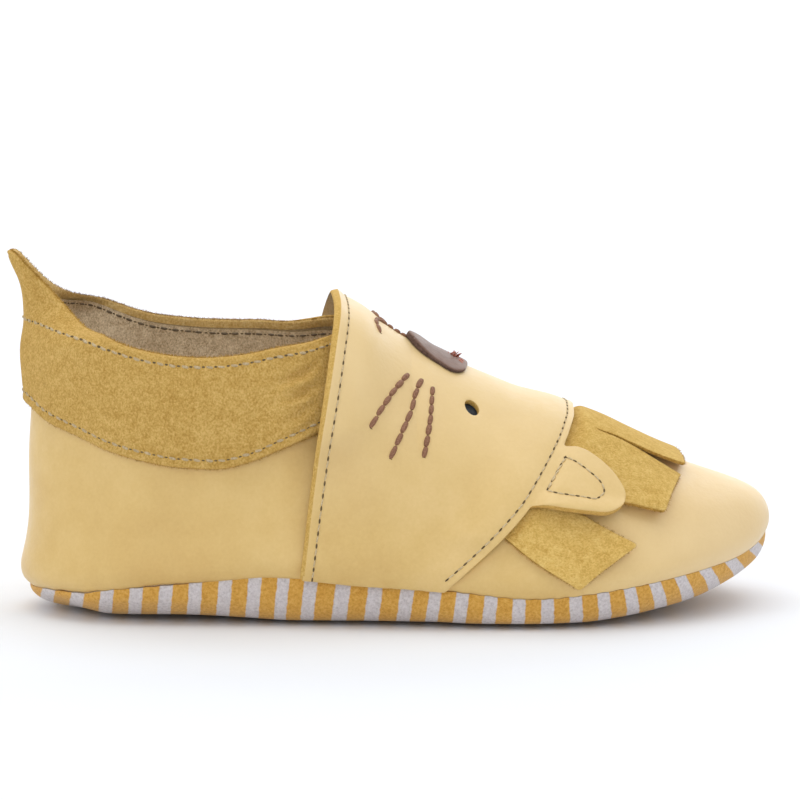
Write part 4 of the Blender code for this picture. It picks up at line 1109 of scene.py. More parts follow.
def gather(p, v):
    """Small tucks of the band where it runs in under the panel."""
    x, z = p[..., 0], p[..., 2]
    near = ease((x + 27) / 9)
    d = np.zeros(x.shape)
    for k, (x0, z0, angle, depth) in enumerate(GATHERS):
        c, s = np.cos(np.radians(angle)), np.sin(np.radians(angle))
        a, b = c * (x - x0) + s * (z - z0), -s * (x - x0) + c * (z - z0)
        d = d + depth * np.exp(-((a / 3.6) ** 2) - (b / 0.75) ** 2)
    return d * near


GATHER_COLUMNS = "x z angle depth".split()
GATHERS = [
    (-17.0, 43.0, 24, -0.28),
    (-18.5, 41.2, 20, 0.16),
    (-16.5, 39.6, 26, -0.26),
    (-19.0, 37.8, 22, 0.14),
    (-17.0, 36.2, 28, -0.24),
    (-20.5, 34.6, 30, 0.12),
    (-15.8, 33.6, 24, -0.2),
    (-22.5, 39.8, 34, -0.14),
    (-24.0, 36.4, 38, -0.12),
]


def collar_high(p, v, dist, x_end, width):
    puff = 0.30 * np.sin(np.pi * np.clip(v, 0, 1)) ** 0.7
    roll = -0.55 * np.clip(1 - (1 - v) * width / 1.5, 0, 1) ** 2
    groove = -0.16 * np.exp(-(((dist - STITCH_IN) / 0.5) ** 2))
    free = 1 - ease((x_end + 3.5) / 3)
    kick = 0.55 * ease((p[..., 0] + 30) / 10) * (1 - np.clip(v, 0, 1)) ** 5 * free
    wave = 0.10 * np.sin(p[..., 0] * 0.9 + 3 * v) * (v > 0.5) * ease((v - 0.6) / 0.4) * free
    return puff + roll + groove + (3.0 * gather(p, v) + kick + wave) * free


def behind_edge(p):
    """Length in front of the panel's rear edge."""
    return p[..., 0] - flow(REAR["z"], REAR["x"], p[..., 2])


def collar_piece(per_side=150):
    u = np.linspace(0, 1, per_side + 1) ** 1.25
    outer, inner, extras = [], [], []
    for side in (-1, 1):
        s, t, v, dist, width = collar_nodes(side, u, BAND_RINGS, 32)
        p, n = surf(side, s, t)
        bend = collar_high(p, v, dist, behind_edge(p), width)
        k = np.clip(1 - dist / 0.42, 0, 1)
        h = 0.35 + 0.65 * np.sqrt(1 - k * k)
        low, high = 0.1 + 0 * dist, GAP + BAND + 0 * dist
        kick = np.maximum(bend, 0) * 0.8
        mid, half = (low + high) / 2, (high - low) / 2
        top = p + n * (mid + half * h + bend)[..., None]
        under = p + n * (mid - half * h + kick * 0.9)[..., None]
        outer.append(top if side > 0 else top[:0:-1])
        inner.append(under if side > 0 else under[:0:-1])
    outer, inner = np.concatenate(outer), np.concatenate(inner)
    b = Build()
    b.grid(outer, 0)
    # inner face takes the paler suede, painted light on the shaded inside
    b.grid(inner, 1)
    b.grid(np.stack([outer[:, 0], inner[:, 0]]), 2)
    b.grid(np.stack([outer[:, -1], inner[:, -1]]), 2)
    b.grid(np.stack([outer[0], inner[0]]), 2)
    b.grid(np.stack([outer[-1], inner[-1]]), 2)
    rng = np.random.default_rng(77)
    for edge, deep, count in ((-1, -5, 5200), (0, 4, 3600)):
        k = rng.integers(0, len(outer) - 1, count)
        u, v = rng.uniform(0, 1, (count, 1)), rng.uniform(0, 1, (count, 1))
        rim = (outer[k, edge] * (1 - u) + outer[k + 1, edge] * u) * v + (inner[k, edge] * (1 - u) + inner[k + 1, edge] * u) * (1 - v)
        way = outer[k, edge] - outer[k, deep]
        way /= np.linalg.norm(way, axis=1, keepdims=True)
        hairs(b, rim, way, 2, 78 + edge)
    return dress(b.object("collar_band", [SUEDE, SUEDE_IN_PAINTED_LIGHT, SUEDE_EDGE], sharp=70, worn=True), "suede", "collar")


def collar_line(kind, step=0.3):
    """Stitch line of the band on its outer face: kind 'top' or 'low'."""
    path, normal = [], []
    for side in (-1, 1):
        share = np.linspace(0, 1, 260)
        s, t, v, dist, width = collar_nodes(side, share, BAND_RINGS, 8)
        if kind == "low":
            frac = STITCH_IN / width[:, 0]
            foot = t[:, 0]
            tt = foot + (1 - foot) * frac
        else:
            ss = s[:, -1]
            top = skin(side, ss, 1.0)[..., 2]
            z = top - STITCH_IN - 0.15
            z = np.where(z > 46, 46 + (50.3 - 46) * (1 - np.exp(-(z - 46) / (50.3 - 46))), z)
            tt = t_at_height(side, ss, z)
        ss = np.array([np.interp(a, row_t, row_s) for a, row_t, row_s in zip(tt, t, s)])
        p, n = surf(side, ss, tt)
        vv = (tt - t[:, 0]) / (1 - t[:, 0])
        lift = GAP + BAND + collar_high(p, vv, np.minimum(vv, 1 - vv) * width[:, 0], behind_edge(p), width[:, 0])
        p = p + n * lift[:, None]
        keep = behind_edge(p) < 2.0
        path.append(p[keep] if side > 0 else p[keep][:0:-1])
        normal.append(n[keep] if side > 0 else n[keep][:0:-1])
    return np.concatenate(path), np.concatenate(normal)


# --------------------------------------------------------------------- stitches
def lay(path, normal, at):
    run = run_of(path)
    p = np.stack([np.interp(at, run, path[:, k]) for k in range(3)], -1)
    n = np.stack([np.interp(at, run, normal[:, k]) for k in range(3)], -1)
    f = np.stack([np.interp(at + 0.05, run, path[:, k]) - np.interp(at - 0.05, run, path[:, k]) for k in range(3)], -1)
    f /= np.maximum(np.linalg.norm(f, axis=-1, keepdims=True), 1e-9)
    n = n - f * (n * f).sum(-1, keepdims=True)
    n /= np.maximum(np.linalg.norm(n, axis=-1, keepdims=True), 1e-9)
    return p, n, np.cross(f, n)


def sew(build, path, normal, pitch, share, radius, lift, seed, fat=0.5, slant=0.0, sink=0.16, mark=0, rings=9, sides=8, hole_painted_shade_mark=None, jitter=0.05):
    """Row of thread stitches along a path; the needle holes between them are dark discs of painted shade and take the
    mark given for them.
    """
    rng = np.random.default_rng(seed)
    length = run_of(path)[-1]
    count = max(int(round(length / pitch)), 1)
    pitch = length / count
    k = np.arange(count)[:, None]
    v = np.linspace(0, 1, rings)[None, :]
    at = (k + 0.5 + (v - 0.5) * share + rng.normal(0, jitter * 0.5, (count, 1))) * pitch
    p, n, w = lay(path, normal, at)
    arch = np.sin(np.pi * v) ** 0.8
    size = radius * (1 - fat + fat * arch) * (1 + rng.normal(0, jitter, (count, 1)))
    size = size * np.where((v < 0.001) | (v > 0.999), 0.35, 1.0)
    tilt = (v - 0.5) * slant * pitch + rng.normal(0, jitter * 0.6, (count, 1)) * radius
    centre = p + n * (lift - sink * (1 - arch))[..., None] + w * tilt[..., None]
    a = np.linspace(0, 2 * np.pi, sides, endpoint=False)
    ring = (
        centre[:, :, None]
        + n[:, :, None] * (np.sin(a) * size[..., None] * 0.85)[..., None]
        + w[:, :, None] * (np.cos(a) * size[..., None])[..., None]
    )
    index = np.arange(count * rings * sides).reshape(count, rings, sides)
    nxt = np.roll(index, -1, 2)
    quads = np.stack([index[:, :-1], index[:, 1:], nxt[:, 1:], nxt[:, :-1]], -1).reshape(-1, 4)
    fan = []
    for end in (0, rings - 1):
        for i in range(1, sides - 1):
            fan.append(index[:, end][:, [0, i, i + 1, i + 1]])
    build.add(ring, np.concatenate([quads] + fan), mark)
    # needle holes: small cups coloured dark, painted shade of the holes between stitches
    if hole_painted_shade_mark is not None:
        at = np.arange(count + 1) * pitch
        p, n, w = lay(path, normal, np.clip(at, 0.02, length - 0.02))
        f = np.cross(n, w)
        long, wide = (1 - share) * pitch * 0.5 + 0.08, radius * 1.0
        m = 10
        a = np.linspace(0, 2 * np.pi, m, endpoint=False)
        flat = p[:, None] + f[:, None] * (np.cos(a) * long)[:, None] + w[:, None] * (np.sin(a) * wide)[:, None]
        rim = flat + n[:, None] * -0.05
        low = flat * 0.5 + p[:, None] * 0.5 + n[:, None] * 0.035
        mid = p + n * 0.05
        pts = np.concatenate([rim, low, mid[:, None]], 1)
        base = np.arange(count + 1)[:, None, None] * (2 * m + 1)
        i = np.arange(m)
        j = (i + 1) % m
        quads = np.stack([i, j, j + m, i + m], 1)
        tris = np.stack([i + m, j + m, np.full(m, 2 * m), np.full(m, 2 * m)], 1)
        f4 = np.concatenate([quads, tris])[None] + base
        build.add(pts, f4.reshape(-1, 4), hole_painted_shade_mark)


# ------------------------------------------------------------------- face panel
GIRTH = 48.0  # half girth used to lay pieces flat


def unfold(x, rise, side):
    return np.stack([np.asarray(x, float), side * (1 - np.asarray(rise, float)) * GIRTH], -1)


def fold(q, arch=True):
    """Flat position (length, girth from the ridge) to station, girth and the face there."""
    side = np.where(q[:, 1] < 0, -1.0, 1.0)
    t = np.clip(1 - np.abs(q[:, 1]) / GIRTH, 0, 1)
    s = s_at(side, q[:, 0], t, arch)
    p, n = surf(side, s, t, arch)
    return side, s, t, p, n


PANEL_LOW = 0.004  # girth fraction of the panel's lower edge, in the sole seam
EAR_TAIL = 2.0


def panel_outline(side):
    lo, hi = EAR_ROOT_RISE
    t = np.linspace(1, PANEL_LOW, 120)
    rear = unfold(skin(side, panel_rear(side, t), t, True)[..., 0], t, side)
    t = np.linspace(PANEL_LOW, lo, 60)
    low_front = unfold(flow(FRONT["rise"], FRONT["x"], t), t, side)
    t = np.linspace(hi, 1, 40)
    top_front = unfold(flow(FRONT["rise"], FRONT["x"], t), t, side)
    ear_rows = [(float(flow(FRONT["rise"], FRONT["x"], lo)), lo), *EAR[::-1], (float(flow(FRONT["rise"], FRONT["x"], hi)), hi)]
    ear = spline(unfold([r[0] for r in ear_rows], [r[1] for r in ear_rows], side), 0.3)
    foot = np.stack([rear[-1], low_front[0]])
    return [rear, foot, low_front, ear, top_front]


def panel_low(side, s, t, p):
    """Height of the panel's inner face over the upper."""
    behind = behind_edge(p)
    before = flow(FRONT["rise"], FRONT["x"], t) - p[..., 0]
    over_collar = (1 - ease((behind - TUCK_REAR - 0.5) / 8)) * ease((p[..., 2] - flow(COL["x"], COL["z"], p[..., 0]) + 6.5) / 6)
    over_roots = (1 - ease((before - TUCK_FRONT) / 8)) * ease((t - 0.12) / 0.08)
    ear = (TAB - TAB_ROOT + 0.1) * ease(-before / 2.2) + 0.35 * ease(-before / 9) + 0.45 * ease((0.385 - t) / 0.06) * ease(-before / 3)
    flare = 0.35 * (1 - ease(behind / 3.2)) * ease((t - 0.02) / 0.1)
    over_collar = over_collar * (1 - 0.5 * ease((t - 0.68) / 0.32))
    return 0.12 + (BAND + GAP + 0.25) * over_collar + (TAB_ROOT + GAP + 0.1) * over_roots + np.where(before < 0, ear, 0) + flare


EYE = (12.2, 0.672, 1.32, 1.72)  # length, girth fraction, radius along and up
REAR_LINE = 2.15  # stitch line in front of the rear edge
FRONT_LINE = 1.15  # stitch line behind the front edge
EAR_LINE_COLUMNS = "x rise".split()
EAR_LINE = [
    (27.3, 0.539), (29.4, 0.51), (31.2, 0.478), (32.8, 0.442), (33.4, 0.400), (32.0, 0.366),
    (29.9, 0.370), (27.4, 0.374), (25.3, 0.378), (24.1, 0.387),
]
WHISKER_COLUMNS = "x_top rise_top x_low rise_low bow stitches".split()
WHISKERS = [
    (1.08, 0.691, -5.5, 0.389, 0.05, 6),
    (3.67, 0.700, -2.0, 0.330, 0.3, 7),
    (5.45, 0.683, 3.95, 0.393, 0.3, 7),
]
MOUTH_STEM = [(1.6, 1.0), (-0.2, 1.0), (-1.9, 1.0)]
MOUTH_ARM = [(-1.9, 0.998), (-3.2, 0.972), (-4.1, 0.930), (-4.3, 0.890), (-4.1, 0.850), (-3.8, 0.815)]


def rear_line(side):
    t = np.linspace(1, 0.008, 160)
    x = skin(side, panel_rear(side, t), t, True)[..., 0]
    return unfold(x + REAR_LINE, t, side)


def front_line(side):
    t = np.linspace(0.022, 1, 200)
    x = flow(FRONT["rise"], FRONT["x"], t)
    q = unfold(x, t, side)
    d = np.gradient(q, axis=0)
    d /= np.linalg.norm(d, axis=1, keepdims=True)
    n = np.stack([-d[:, 1], d[:, 0]], 1)
    n *= np.where(n[:, :1] > 0, -1, 1)
    return q + n * FRONT_LINE


def ear_line(side):
    q = unfold([r[0] for r in EAR_LINE], [r[1] for r in EAR_LINE], side)
    return np.concatenate([spline(q, 0.3), resample(np.stack([q[-1], q[0]]), 0.3)[1:]])


def ear_full(p, t):
    """The ear is of two layers and stands thicker than the panel."""
    before = p[..., 0] - flow(FRONT["rise"], FRONT["x"], t)
    return 0.35 * ease(before / 4) + 0.4 * ease((0.385 - t) / 0.06) * ease(before / 3)


def panel_face(q):
    """Outer face of the panel at flat positions: points and normals."""
    side, s, t, p, n = fold(q)
    return p + n * (panel_low(side, s, t, p) + PANEL + ear_full(p, t))[:, None], n


def panel_piece():
    near, far = panel_outline(-1), panel_outline(1)
    outline = near + [part[::-1] for part in far[::-1]]
    x, rise, radius, tall = EYE
    holes = []
    for side in (-1, 1):
        q = unfold([x, x + 0.2, x], [rise, rise, rise + 0.004], side)
        p = fold(q)[3]
        along, up = np.linalg.norm(p[1] - p[0]) / 0.2, np.linalg.norm(p[2] - p[0]) / (0.004 * GIRTH)
        a = np.linspace(0, 2 * np.pi, 40, endpoint=False)
        holes.append(q[0] + np.stack([np.cos(a) * radius / along, np.sin(a) * tall / up], 1))
    leaf = Leaf(outline, holes, step=0.55)
    side, s, t, p, n0 = fold(leaf.q)
    n = leaf.normals(p, n0)
    low = panel_low(side, s, t, p)
    lines = [rear_line(-1), rear_line(1), front_line(-1), front_line(1), ear_line(-1), ear_line(1)]
    groove = np.zeros(len(p))
    for line in lines:
        groove = np.maximum(groove, np.exp(-((nearness(leaf.q, line) / 0.45) ** 2)))
    high = low + PANEL - 0.13 * groove
    behind = behind_edge(p)
    skive = 1 - np.clip(0.25 + behind / 1.0, 0, 1)  # slanted cut of the rear edge
    high = high - PANEL * 0.8 * skive * ease((t - 0.012) / 0.03)
    high = high + ear_full(p, t)
    dip = np.minimum(*[nearness(leaf.q, h, True) for h in holes])
    high = high - 0.10 * np.exp(-((dip / 0.4) ** 2)) * (leaf.e < 5)
    b = leaf.solid(p, n, low, high, flat=0.8, radius=0.25)
    cut = (behind[leaf.tri] < 0.76).all(1)
    b.marks[0] = np.where(cut, 1, 0)
    return dress(b.object("face_panel_leather", [PANEL_LEATHER, RAW_EDGE, PANEL_BACK], weld=False, sharp=55), "leather", "face_panel")


def eye_backing():
    b = Build()
    x, rise, _, radius = EYE
    for side in (-1, 1):
        a = np.linspace(0, 2 * np.pi, 28, endpoint=False)
        rows = []
        for r in (0.0, 0.5, 0.85, 1.0):
            q = unfold([x], [rise], side) + np.stack([np.cos(a), np.sin(a)], 1) * radius * 1.45 * r
            _, s, t, p, n = fold(q)
            rows.append(p + n * (0.10 if r < 0.9 else 0.04))
        rows = np.array(rows)
        b.grid(rows, 0, wrap=True)
    return dress(b.object("eye_backing", [EYE_DARK], sharp=0, outward=False), "nose_leather")


# ---------------------------------------------------------------- fringe, nose
def hairs(build, root, along, mark, seed, length=0.56, width=0.065):
    """Short loose fibres of suede: thin curved slivers from roots along directions."""
    rng = np.random.default_rng(seed)
    count = len(root)
    along = along + rng.normal(0, 0.55, along.shape)
    along /= np.maximum(np.linalg.norm(along, axis=1, keepdims=True), 1e-9)
    aside = np.cross(along, rng.normal(0, 1, along.shape))
    aside /= np.maximum(np.linalg.norm(aside, axis=1, keepdims=True), 1e-9)
    reach = (length * rng.uniform(0.35, 1.1, (count, 1)))
    bend = rng.normal(0, 0.25, (count, 1)) * reach
    third = np.cross(along, aside)
    a, b, c = root - along * 0.12, root + along * reach * 0.55 + third * bend * 0.3, root + along * reach + third * bend
    w = aside * width / 2
    up = third * width / 2
    ring = lambda p, k: np.stack([p + w * k, p - w * k * 0.5 + up * k, p - w * k * 0.5 - up * k], 1)
    points = np.concatenate([ring(a, 1.0), ring(b, 0.8), c[:, None]], 1)
    base = np.arange(count)[:, None, None] * 7
    quads = [(0, 1, 4, 3), (1, 2, 5, 4), (2, 0, 3, 5), (3, 4, 6, 6), (4, 5, 6, 6), (5, 3, 6, 6), (0, 2, 1, 1)]
    build.add(points, (np.array(quads)[None] + base).reshape(-1, 4), mark)


def fuzz(build, leaf, p, n, low, high, seed, per_point=3):
    """Fibres along the cut edge of a leaf."""
    rng = np.random.default_rng(seed)
    for loop in leaf.loops:
        m = len(loop)
        deep = loop + 3 * m
        out = p[loop] - p[deep]
        out /= np.maximum(np.linalg.norm(out, axis=1, keepdims=True), 1e-9)
        pick = rng.integers(0, m, per_point * m)
        u = rng.uniform(0, 1, (len(pick), 1))
        base = p[loop][pick] * (1 - u) + p[np.roll(loop, -1)][pick] * u
        h = (low[loop][pick] + (high - low)[loop][pick] * rng.uniform(0.1, 0.9, len(pick)))[:, None]
        hairs(build, base + n[loop][pick] * h, out[pick] + n[loop][pick] * rng.normal(0, 0.4, (len(pick), 1)), 1, seed + 1)


# Tab edges: root girth, then length and girth of the corner; lift of the tip and the
# share of the tab that stays down; twist lifts one corner more than the other.
LOOK_TAB_COLUMNS = "name side root_up root_low x_up rise_up x_low rise_low lift flat twist".split()
LOOK_TABS = [
    ("mane_lower_outer", -1, 0.455, 0.23, 39.3, 0.195, 29.6, 0.03, 0.8, 0.45, 0.3),
    ("mane_lower_inner", 1, 0.455, 0.23, 39.3, 0.195, 29.6, 0.03, 0.8, 0.45, 0.3),
]


def tab_piece(name, side, root_up, root_low, x_up, rise_up, x_low, rise_low, lift, flat, twist):
    long, wide = 22.0, 0.5 * GIRTH * (root_up - root_low + rise_up - rise_low)
    corners = np.array([(0, 0), (long, 0), (long, wide), (0, wide)], float)
    outline = [np.stack([corners[k], corners[(k + 1) % 4]]) for k in range(4)]
    leaf = Leaf(outline, step=0.5, corner=3)
    f, v = leaf.q[:, 0] / long, leaf.q[:, 1] / wide
    r0, r1 = root_low + (root_up - root_low) * v, rise_low + (rise_up - rise_low) * v
    x0 = flow(FRONT["rise"], FRONT["x"], r0) - TUCK_FRONT
    x1 = x_low + (x_up - x_low) * v
    x, r = x0 + (x1 - x0) * f, r0 + (r1 - r0) * f
    s = s_at(side, x, r)
    p, n0 = surf(side, s, r)
    n = leaf.normals(p, n0)
    rise = lift * (1 + twist * (v - 0.5) * 2 * (1 if side < 0 else 0.6)) * ease((f - flat) / (1 - flat)) ** 1.2
    ripple = 0.10 * np.sin(v * 7 + f * 3) * ease((f - 0.4) / 0.5)
    low = 0.1 + rise + ripple
    high = low + 0.25 + 0.6 * tab_thickness(x, r)
    b = leaf.solid(p, n, low, high, flat=0.7, radius=0.25)
    fuzz(b, leaf, p, n, low, high, 31 + int(side))
    # the lower tabs wear the lighter-painted copy of the mane suede
    return dress(b.object(name + "_suede", [MANE_LOW_PAINTED_LIGHT, SUEDE_EDGE, MANE_LOW_PAINTED_LIGHT], weld=False, sharp=60), "suede", name)


STRIP_COLUMNS = "x rise".split()
TOP_TAB_EDGE = [(48.6, 0.716), (42.5, 0.743), (37.4, 0.777), (33.4, 0.786)]
UPPER_TAB_EDGE = [(33.4, 0.783), (39.2, 0.758), (44.4, 0.714), (48.3, 0.661)]
UPPER_TAB_TIP = [(48.3, 0.661), (46.2, 0.50), (43.9, 0.339)]
UPPER_TAB_LOW = [(43.9, 0.339), (37.5, 0.383), (30.0, 0.43), (20.5, 0.475)]
TOP_TAB_TIP = [(49.6, 1.0), (49.3, 0.86), (48.6, 0.716)]


def strip_outline(side):
    """One strip of suede with a slit on each side of the top tab."""
    parts = []
    for rows in (TOP_TAB_TIP, TOP_TAB_EDGE, UPPER_TAB_EDGE, UPPER_TAB_TIP, UPPER_TAB_LOW):
        parts.append(spline(unfold([r[0] for r in rows], [r[1] for r in rows], side), 0.3))
    r = np.linspace(UPPER_TAB_LOW[-1][1], 1.0, 50)
    parts.append(unfold(flow(FRONT["rise"], FRONT["x"], r) - TUCK_FRONT, r, side))
    parts[4][-1] = parts[5][0]
    return parts


def strip_piece():
    near, far = strip_outline(-1), strip_outline(1)
    leaf = Leaf(near + [part[::-1] for part in far[::-1]], step=0.5, corner=1)
    side = np.where(leaf.q[:, 1] < 0, -1.0, 1.0)
    x, r = leaf.q[:, 0], np.clip(1 - np.abs(leaf.q[:, 1]) / GIRTH, 0, 0.9985)
    s = s_at(side, x, r)
    p, n0 = surf(side, s, r)
    n = leaf.normals(p, n0)
    slit = flow([20.0, 33.4, 38.3, 43.5, 50.0], [0.79, 0.785, 0.768, 0.728, 0.678], x)
    f = np.clip((x - 30.0) / 18.5, 0, 1)
    top = (0.1 + 1.3 * np.clip((1 - r) / 0.28, 0, 1) ** 2) * ease(f) + 0.08 * np.sin(9 * r + 0.25 * x) * ease((f - 0.2) / 0.6)
    upper = 0.9 * ease(f) * ease((0.66 - r) / 0.26) + 0.10 * np.sin(14 * r + 0.3 * x) * ease((f - 0.2) / 0.6)
    upper = upper + 0.9 * ease((0.47 - r) / 0.11) * ease((x - 33) / 6)
    swell = 0.95 * ease((x - 29.8) / 2.5) * (1 - np.clip((x - 33) / 17, 0, 1)) * ease((r - 0.5) / 0.3)
    low = 0.1 + swell + np.where(r > slit, top, upper)
    high = low + 0.25 + 0.6 * tab_thickness(x, r) - 0.25 * (r > slit) * ease((x - 34) / 6)
    b = leaf.solid(p, n, low, high, flat=0.7, radius=0.25)
    fuzz(b, leaf, p, n, low, high, 21)
    piece = b.object("mane_strip_suede", [MANE, SUEDE_EDGE, MANE], weld=False, sharp=60)
    return dress(piece, "suede", "mane_top", "mane_upper_outer", "mane_upper_inner")


def nose_piece():
    half = [unfold([r[0] for r in NOSE_HALF], [r[1] for r in NOSE_HALF], side) for side in (-1, 1)]
    outline = [spline(half[0], 0.25), spline(half[1][::-1], 0.25)]
    leaf = Leaf(outline, step=0.35, corner=4)
    side, s, t, p, n0 = fold(leaf.q)
    n = leaf.normals(p, n0)
    r = np.hypot((leaf.q[:, 0] - NOSE_MIDDLE) / 5.5, leaf.q[:, 1] / 8.5)
    low = panel_low(side, s, t, p) + PANEL + 0.05
    high = low + 0.72 + 0.10 * np.clip(1 - r * r, 0, 1) + 0.6 * ease((NOSE_MIDDLE - 1 - leaf.q[:, 0]) / 4)
    b = leaf.solid(p, n, low, high, flat=0.55, radius=0.36)
    return dress(b.object("nose_patch", [NOSE_TOP, NOSE_EDGE, NOSE_EDGE], weld=False, sharp=55), "nose_leather", "nose")


def relax(path, times):
    """Even out a row of points between its two ends."""
    path = path.copy()
    for _ in range(times):
        path[1:-1] = 0.25 * path[:-2] + 0.5 * path[1:-1] + 0.25 * path[2:]
    return path


def embroidery():
    b = Build()
    for side in (-1, 1):
        for k, (x0, r0, x1, r1, bow, count) in enumerate(WHISKERS):
            u = np.linspace(0, 1, 80)
            x = x0 + (x1 - x0) * u + bow * np.sin(np.pi * u)
            p, n = panel_face(unfold(x, r0 + (r1 - r0) * u, side))
            p, n = relax(p, 60), relax(n, 60)
            length = run_of(p)[-1]
            sew(b, p, n, length / count, 1.0, 0.46, 0.12, 40 + k + side, fat=0.36, sink=0.12, mark=0, sides=10, rings=11, hole_painted_shade_mark=1, slant=0.05, jitter=0.06)
        q = spline(unfold([r[0] for r in MOUTH_ARM], [r[1] for r in MOUTH_ARM], side), 0.15)
        p, n = panel_face(q)
        sew(b, p, n, run_of(p)[-1] / 4, 1.0, 0.42, 0.12, 60 + side, fat=0.45, sink=0.08, mark=0, hole_painted_shade_mark=1)
    q = resample(unfold([r[0] for r in MOUTH_STEM], [0.9995, 0.9995, 0.9995], -1), 0.15)
    p, n = panel_face(q)
    sew(b, p, n, run_of(p)[-1] / 3, 1.0, 0.42, 0.12, 70, fat=0.45, sink=0.08, mark=0, hole_painted_shade_mark=1)
    # the whiskers' needle holes take the dark painted-shade gap colour
    return dress(b.object("whiskers_and_mouth", [BROWN_THREAD, BROWN_GAP_PAINTED_SHADE], weld=False, sharp=0), "nose_leather")


def tuft():
    """Thread end and two stitches at the front of the nose."""
    rng = np.random.default_rng(8)
    b = Build()
    for x, rise, count, long in ((9.4, 0.985, 26, 1.1), (8.9, 0.99, 10, 0.7)):
        p, n = panel_face(unfold([x], [rise], -1))
        root = p + n * 0.8 + rng.normal(0, 0.28, (count, 3))
        way = n + np.array([0.35, -0.25, 0.2]) + rng.normal(0, 0.35, (count, 3))
        hairs(b, root, way, 0, 9 + count, length=long, width=0.22)
    for x, rise in ((10.4, 0.945), (10.7, 0.975)):
        u = np.linspace(-0.5, 0.5, 12)
        p, n = panel_face(unfold(x + 0.9 * u, rise - 0.03 * u, -1))
        sew(b, p + n * 0.78, n, 1.3, 1.0, 0.2, 0.05, 14, fat=0.5, sink=0.1)
    return dress(b.object("nose_thread_end", [TUFT], weld=False, sharp=0), "nose_leather")


PITCH = 2.1


def lining_line():
    path, normal = [], []
    s = np.linspace(0, KNOTS[THROAT_ROW] - 1.0, 260)
    for side in (-1, 1):
        top = rim_look(side, s)
        t = t_at_height(side, s, surf(side, s, top)[0][:, 2] - 0.75)
        p, n = surf(side, s, t)
        thin = ease((t / np.maximum(top, 1e-6)) ** (1 / 1.15) / 0.28 - 0.72 / 0.28) * (0.35 + 0.4 * ease((skin(side, s, 1.0)[..., 2] - 50) / 6))
        p = p - n * (WALL * (1 - thin))[:, None]
        path.append(p if side > 0 else p[:0:-1])
        normal.append(-n if side > 0 else -n[:0:-1])
    return np.concatenate(path), np.concatenate(normal)


def seams():
    b = Build()
    for kind, seed in (("low", 1), ("top", 2)):
        p, n = collar_line(kind)
        sew(b, p, n, PITCH, 0.66, 0.24, 0.05, seed, fat=0.4, sink=0.2, hole_painted_shade_mark=1, mark=2, slant=0.1, jitter=0.1)
    p, n = lining_line()
    sew(b, p, n, PITCH, 0.7, 0.2, 0.03, 3, fat=0.4, sink=0.2, hole_painted_shade_mark=1, mark=3, jitter=0.1)
    dress(b.object("band_stitches", [THREAD, NEEDLE_HOLE_PAINTED_SHADE, THREAD_BAND, THREAD_DARK], weld=False, sharp=0, worn=True), "suede")
    b = Build()
    for side in (-1, 1):
        p, n = panel_face(rear_line(side))
        sew(b, p, n, PITCH, 0.64, 0.16, -0.03, 5 + side, fat=0.35, sink=0.14, hole_painted_shade_mark=1, slant=0.06)
        p, n = panel_face(front_line(side))
        sew(b, p, n, PITCH, 0.64, 0.16, -0.03, 9 + side, fat=0.35, sink=0.14, hole_painted_shade_mark=1, slant=0.06)
        p, n = panel_face(ear_line(side))
        sew(b, p, n, 1.95, 0.66, 0.16, -0.03, 13 + side, fat=0.35, sink=0.14, hole_painted_shade_mark=1, slant=0.05)
        first, last = EAR_LINE[0], EAR_LINE[-1]
        u = np.linspace(0.04, 0.96, 40)
        p, n = panel_face(unfold(last[0] + (first[0] - last[0]) * u + 0.12, last[1] + (first[1] - last[1]) * u, side))
        sew(b, p, n, 1.45, 0.86, 0.19, 0.02, 17 + side, fat=0.4, sink=0.16, slant=0.12, jitter=0.14)  # sewn over twice
    return dress(b.object("panel_stitches", [THREAD, NEEDLE_HOLE_PAINTED_SHADE], weld=False, sharp=0), "leather")


upper_piece()
sole_piece()
insole_piece()
collar_piece()
panel_piece()
eye_backing()
for row in LOOK_TABS:
    tab_piece(*row)
strip_piece()
nose_piece()
embroidery()
tuft()
seams()


# ------------------------------------------------------- floor, light and camera
def at(x, y, z):
    return Vector(((x - CENTRE_X) * MM, (y - CENTRE_Y) * MM, z * MM))


floor_mesh = bpy.data.meshes.new("floor")
floor_mesh.from_pydata([(-6, -6, 0), (6, -6, 0), (6, 6, 0), (-6, 6, 0)], [], [(0, 1, 2, 3)])
floor = bpy.data.objects.new("floor", floor_mesh)
bpy.context.scene.collection.objects.link(floor)
paper = Nodes("white_floor")
paper.put(Roughness=0.9, Specular_IOR_Level=0.1)
paper.shader.inputs["Base Color"].default_value = (0.868, 0.896, 0.945, 1)
paper.shader.inputs["Emission Color"].default_value = (1, 1, 1, 1)
paper.shader.inputs["Emission Strength"].default_value = 0.0
floor_mesh.materials.append(paper.material)


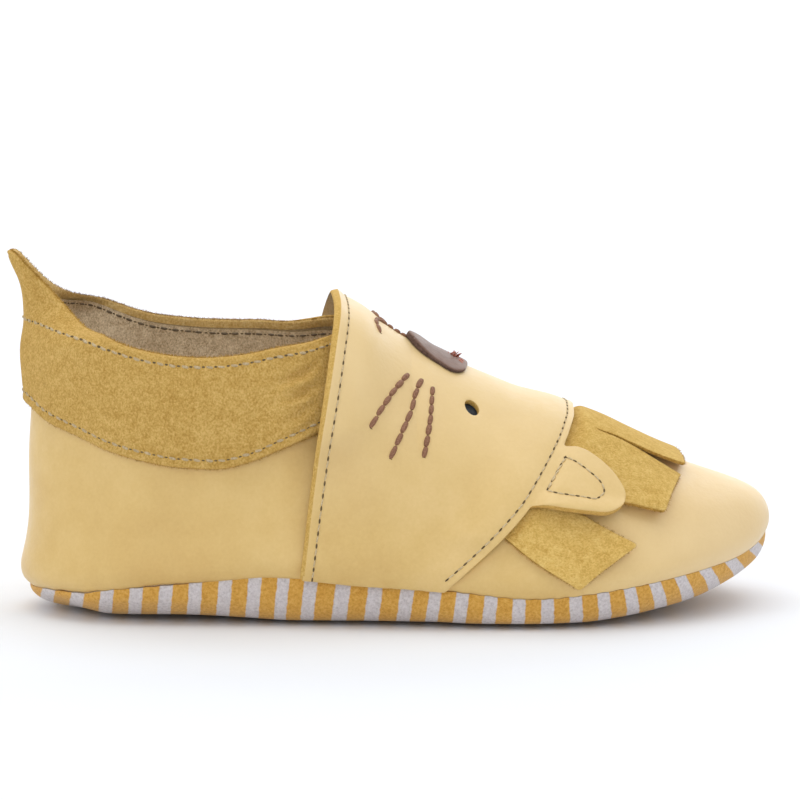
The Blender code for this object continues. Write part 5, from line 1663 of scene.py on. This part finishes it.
def area(name, place, target, size, power, colour=(1, 1, 1)):
    lamp = bpy.data.lights.new(name, "AREA")
    lamp.shape = "RECTANGLE"
    lamp.size, lamp.size_y = size
    lamp.energy = power
    lamp.color = colour
    obj = bpy.data.objects.new(name, lamp)
    obj.location = place
    obj.rotation_euler = (Vector(target) - Vector(place)).to_track_quat("-Z", "Y").to_euler()
    bpy.context.scene.collection.objects.link(obj)


area("top_softbox", (0.0, 0.12, 1.15), (0.0, 0.0, 0.02), (1.4, 1.3), 7.9)
area("front_fill", (-0.3, -1.35, 0.6), (0.0, 0.0, 0.03), (1.2, 0.8), 3.55)
area("back_wall", (0.0, 1.5, 0.75), (0.0, 0.0, 0.75), (3.2, 1.4), 21)
area("heel_softbox", (-0.8, -0.25, 0.5), (-0.05, 0.0, 0.03), (0.6, 0.6), 1.1)
area("toe_softbox", (0.75, -0.35, 0.75), (0.03, 0.0, 0.03), (0.7, 0.6), 1.5)

world = bpy.data.worlds.new("studio")
world.use_nodes = True
world.node_tree.nodes["Background"].inputs["Color"].default_value = (1, 1, 1, 1)
world.node_tree.nodes["Background"].inputs["Strength"].default_value = 0.45
bpy.context.scene.world = world

AZIMUTH, ELEVATION, DISTANCE = np.radians(-3.0), np.radians(8.5), 1200.0
AIM = (1.1, 0.0, 35.3)
lens = bpy.data.cameras.new("camera")
lens.sensor_width = lens.sensor_height = 36.0
lens.sensor_fit = "HORIZONTAL"
lens.lens = 36.0 * DISTANCE * 5.836 / 800
lens.clip_start, lens.clip_end = 0.05, 50
lens.dof.use_dof = False
camera = bpy.data.objects.new("camera", lens)
bpy.context.scene.collection.objects.link(camera)
toward = Vector((np.sin(AZIMUTH) * np.cos(ELEVATION), -np.cos(AZIMUTH) * np.cos(ELEVATION), np.sin(ELEVATION)))
right = Vector((np.cos(AZIMUTH), np.sin(AZIMUTH), 0))
up = toward.cross(right)
place = at(*AIM) + toward * DISTANCE * MM
camera.matrix_world = Matrix(
    ((right.x, up.x, toward.x, place.x), (right.y, up.y, toward.y, place.y), (right.z, up.z, toward.z, place.z), (0, 0, 0, 1))
)
bpy.context.scene.camera = camera

view = bpy.context.scene.view_settings
view.view_transform = "Standard"
view.look = "None"
view.exposure = 0.0
view.gamma = 1.0
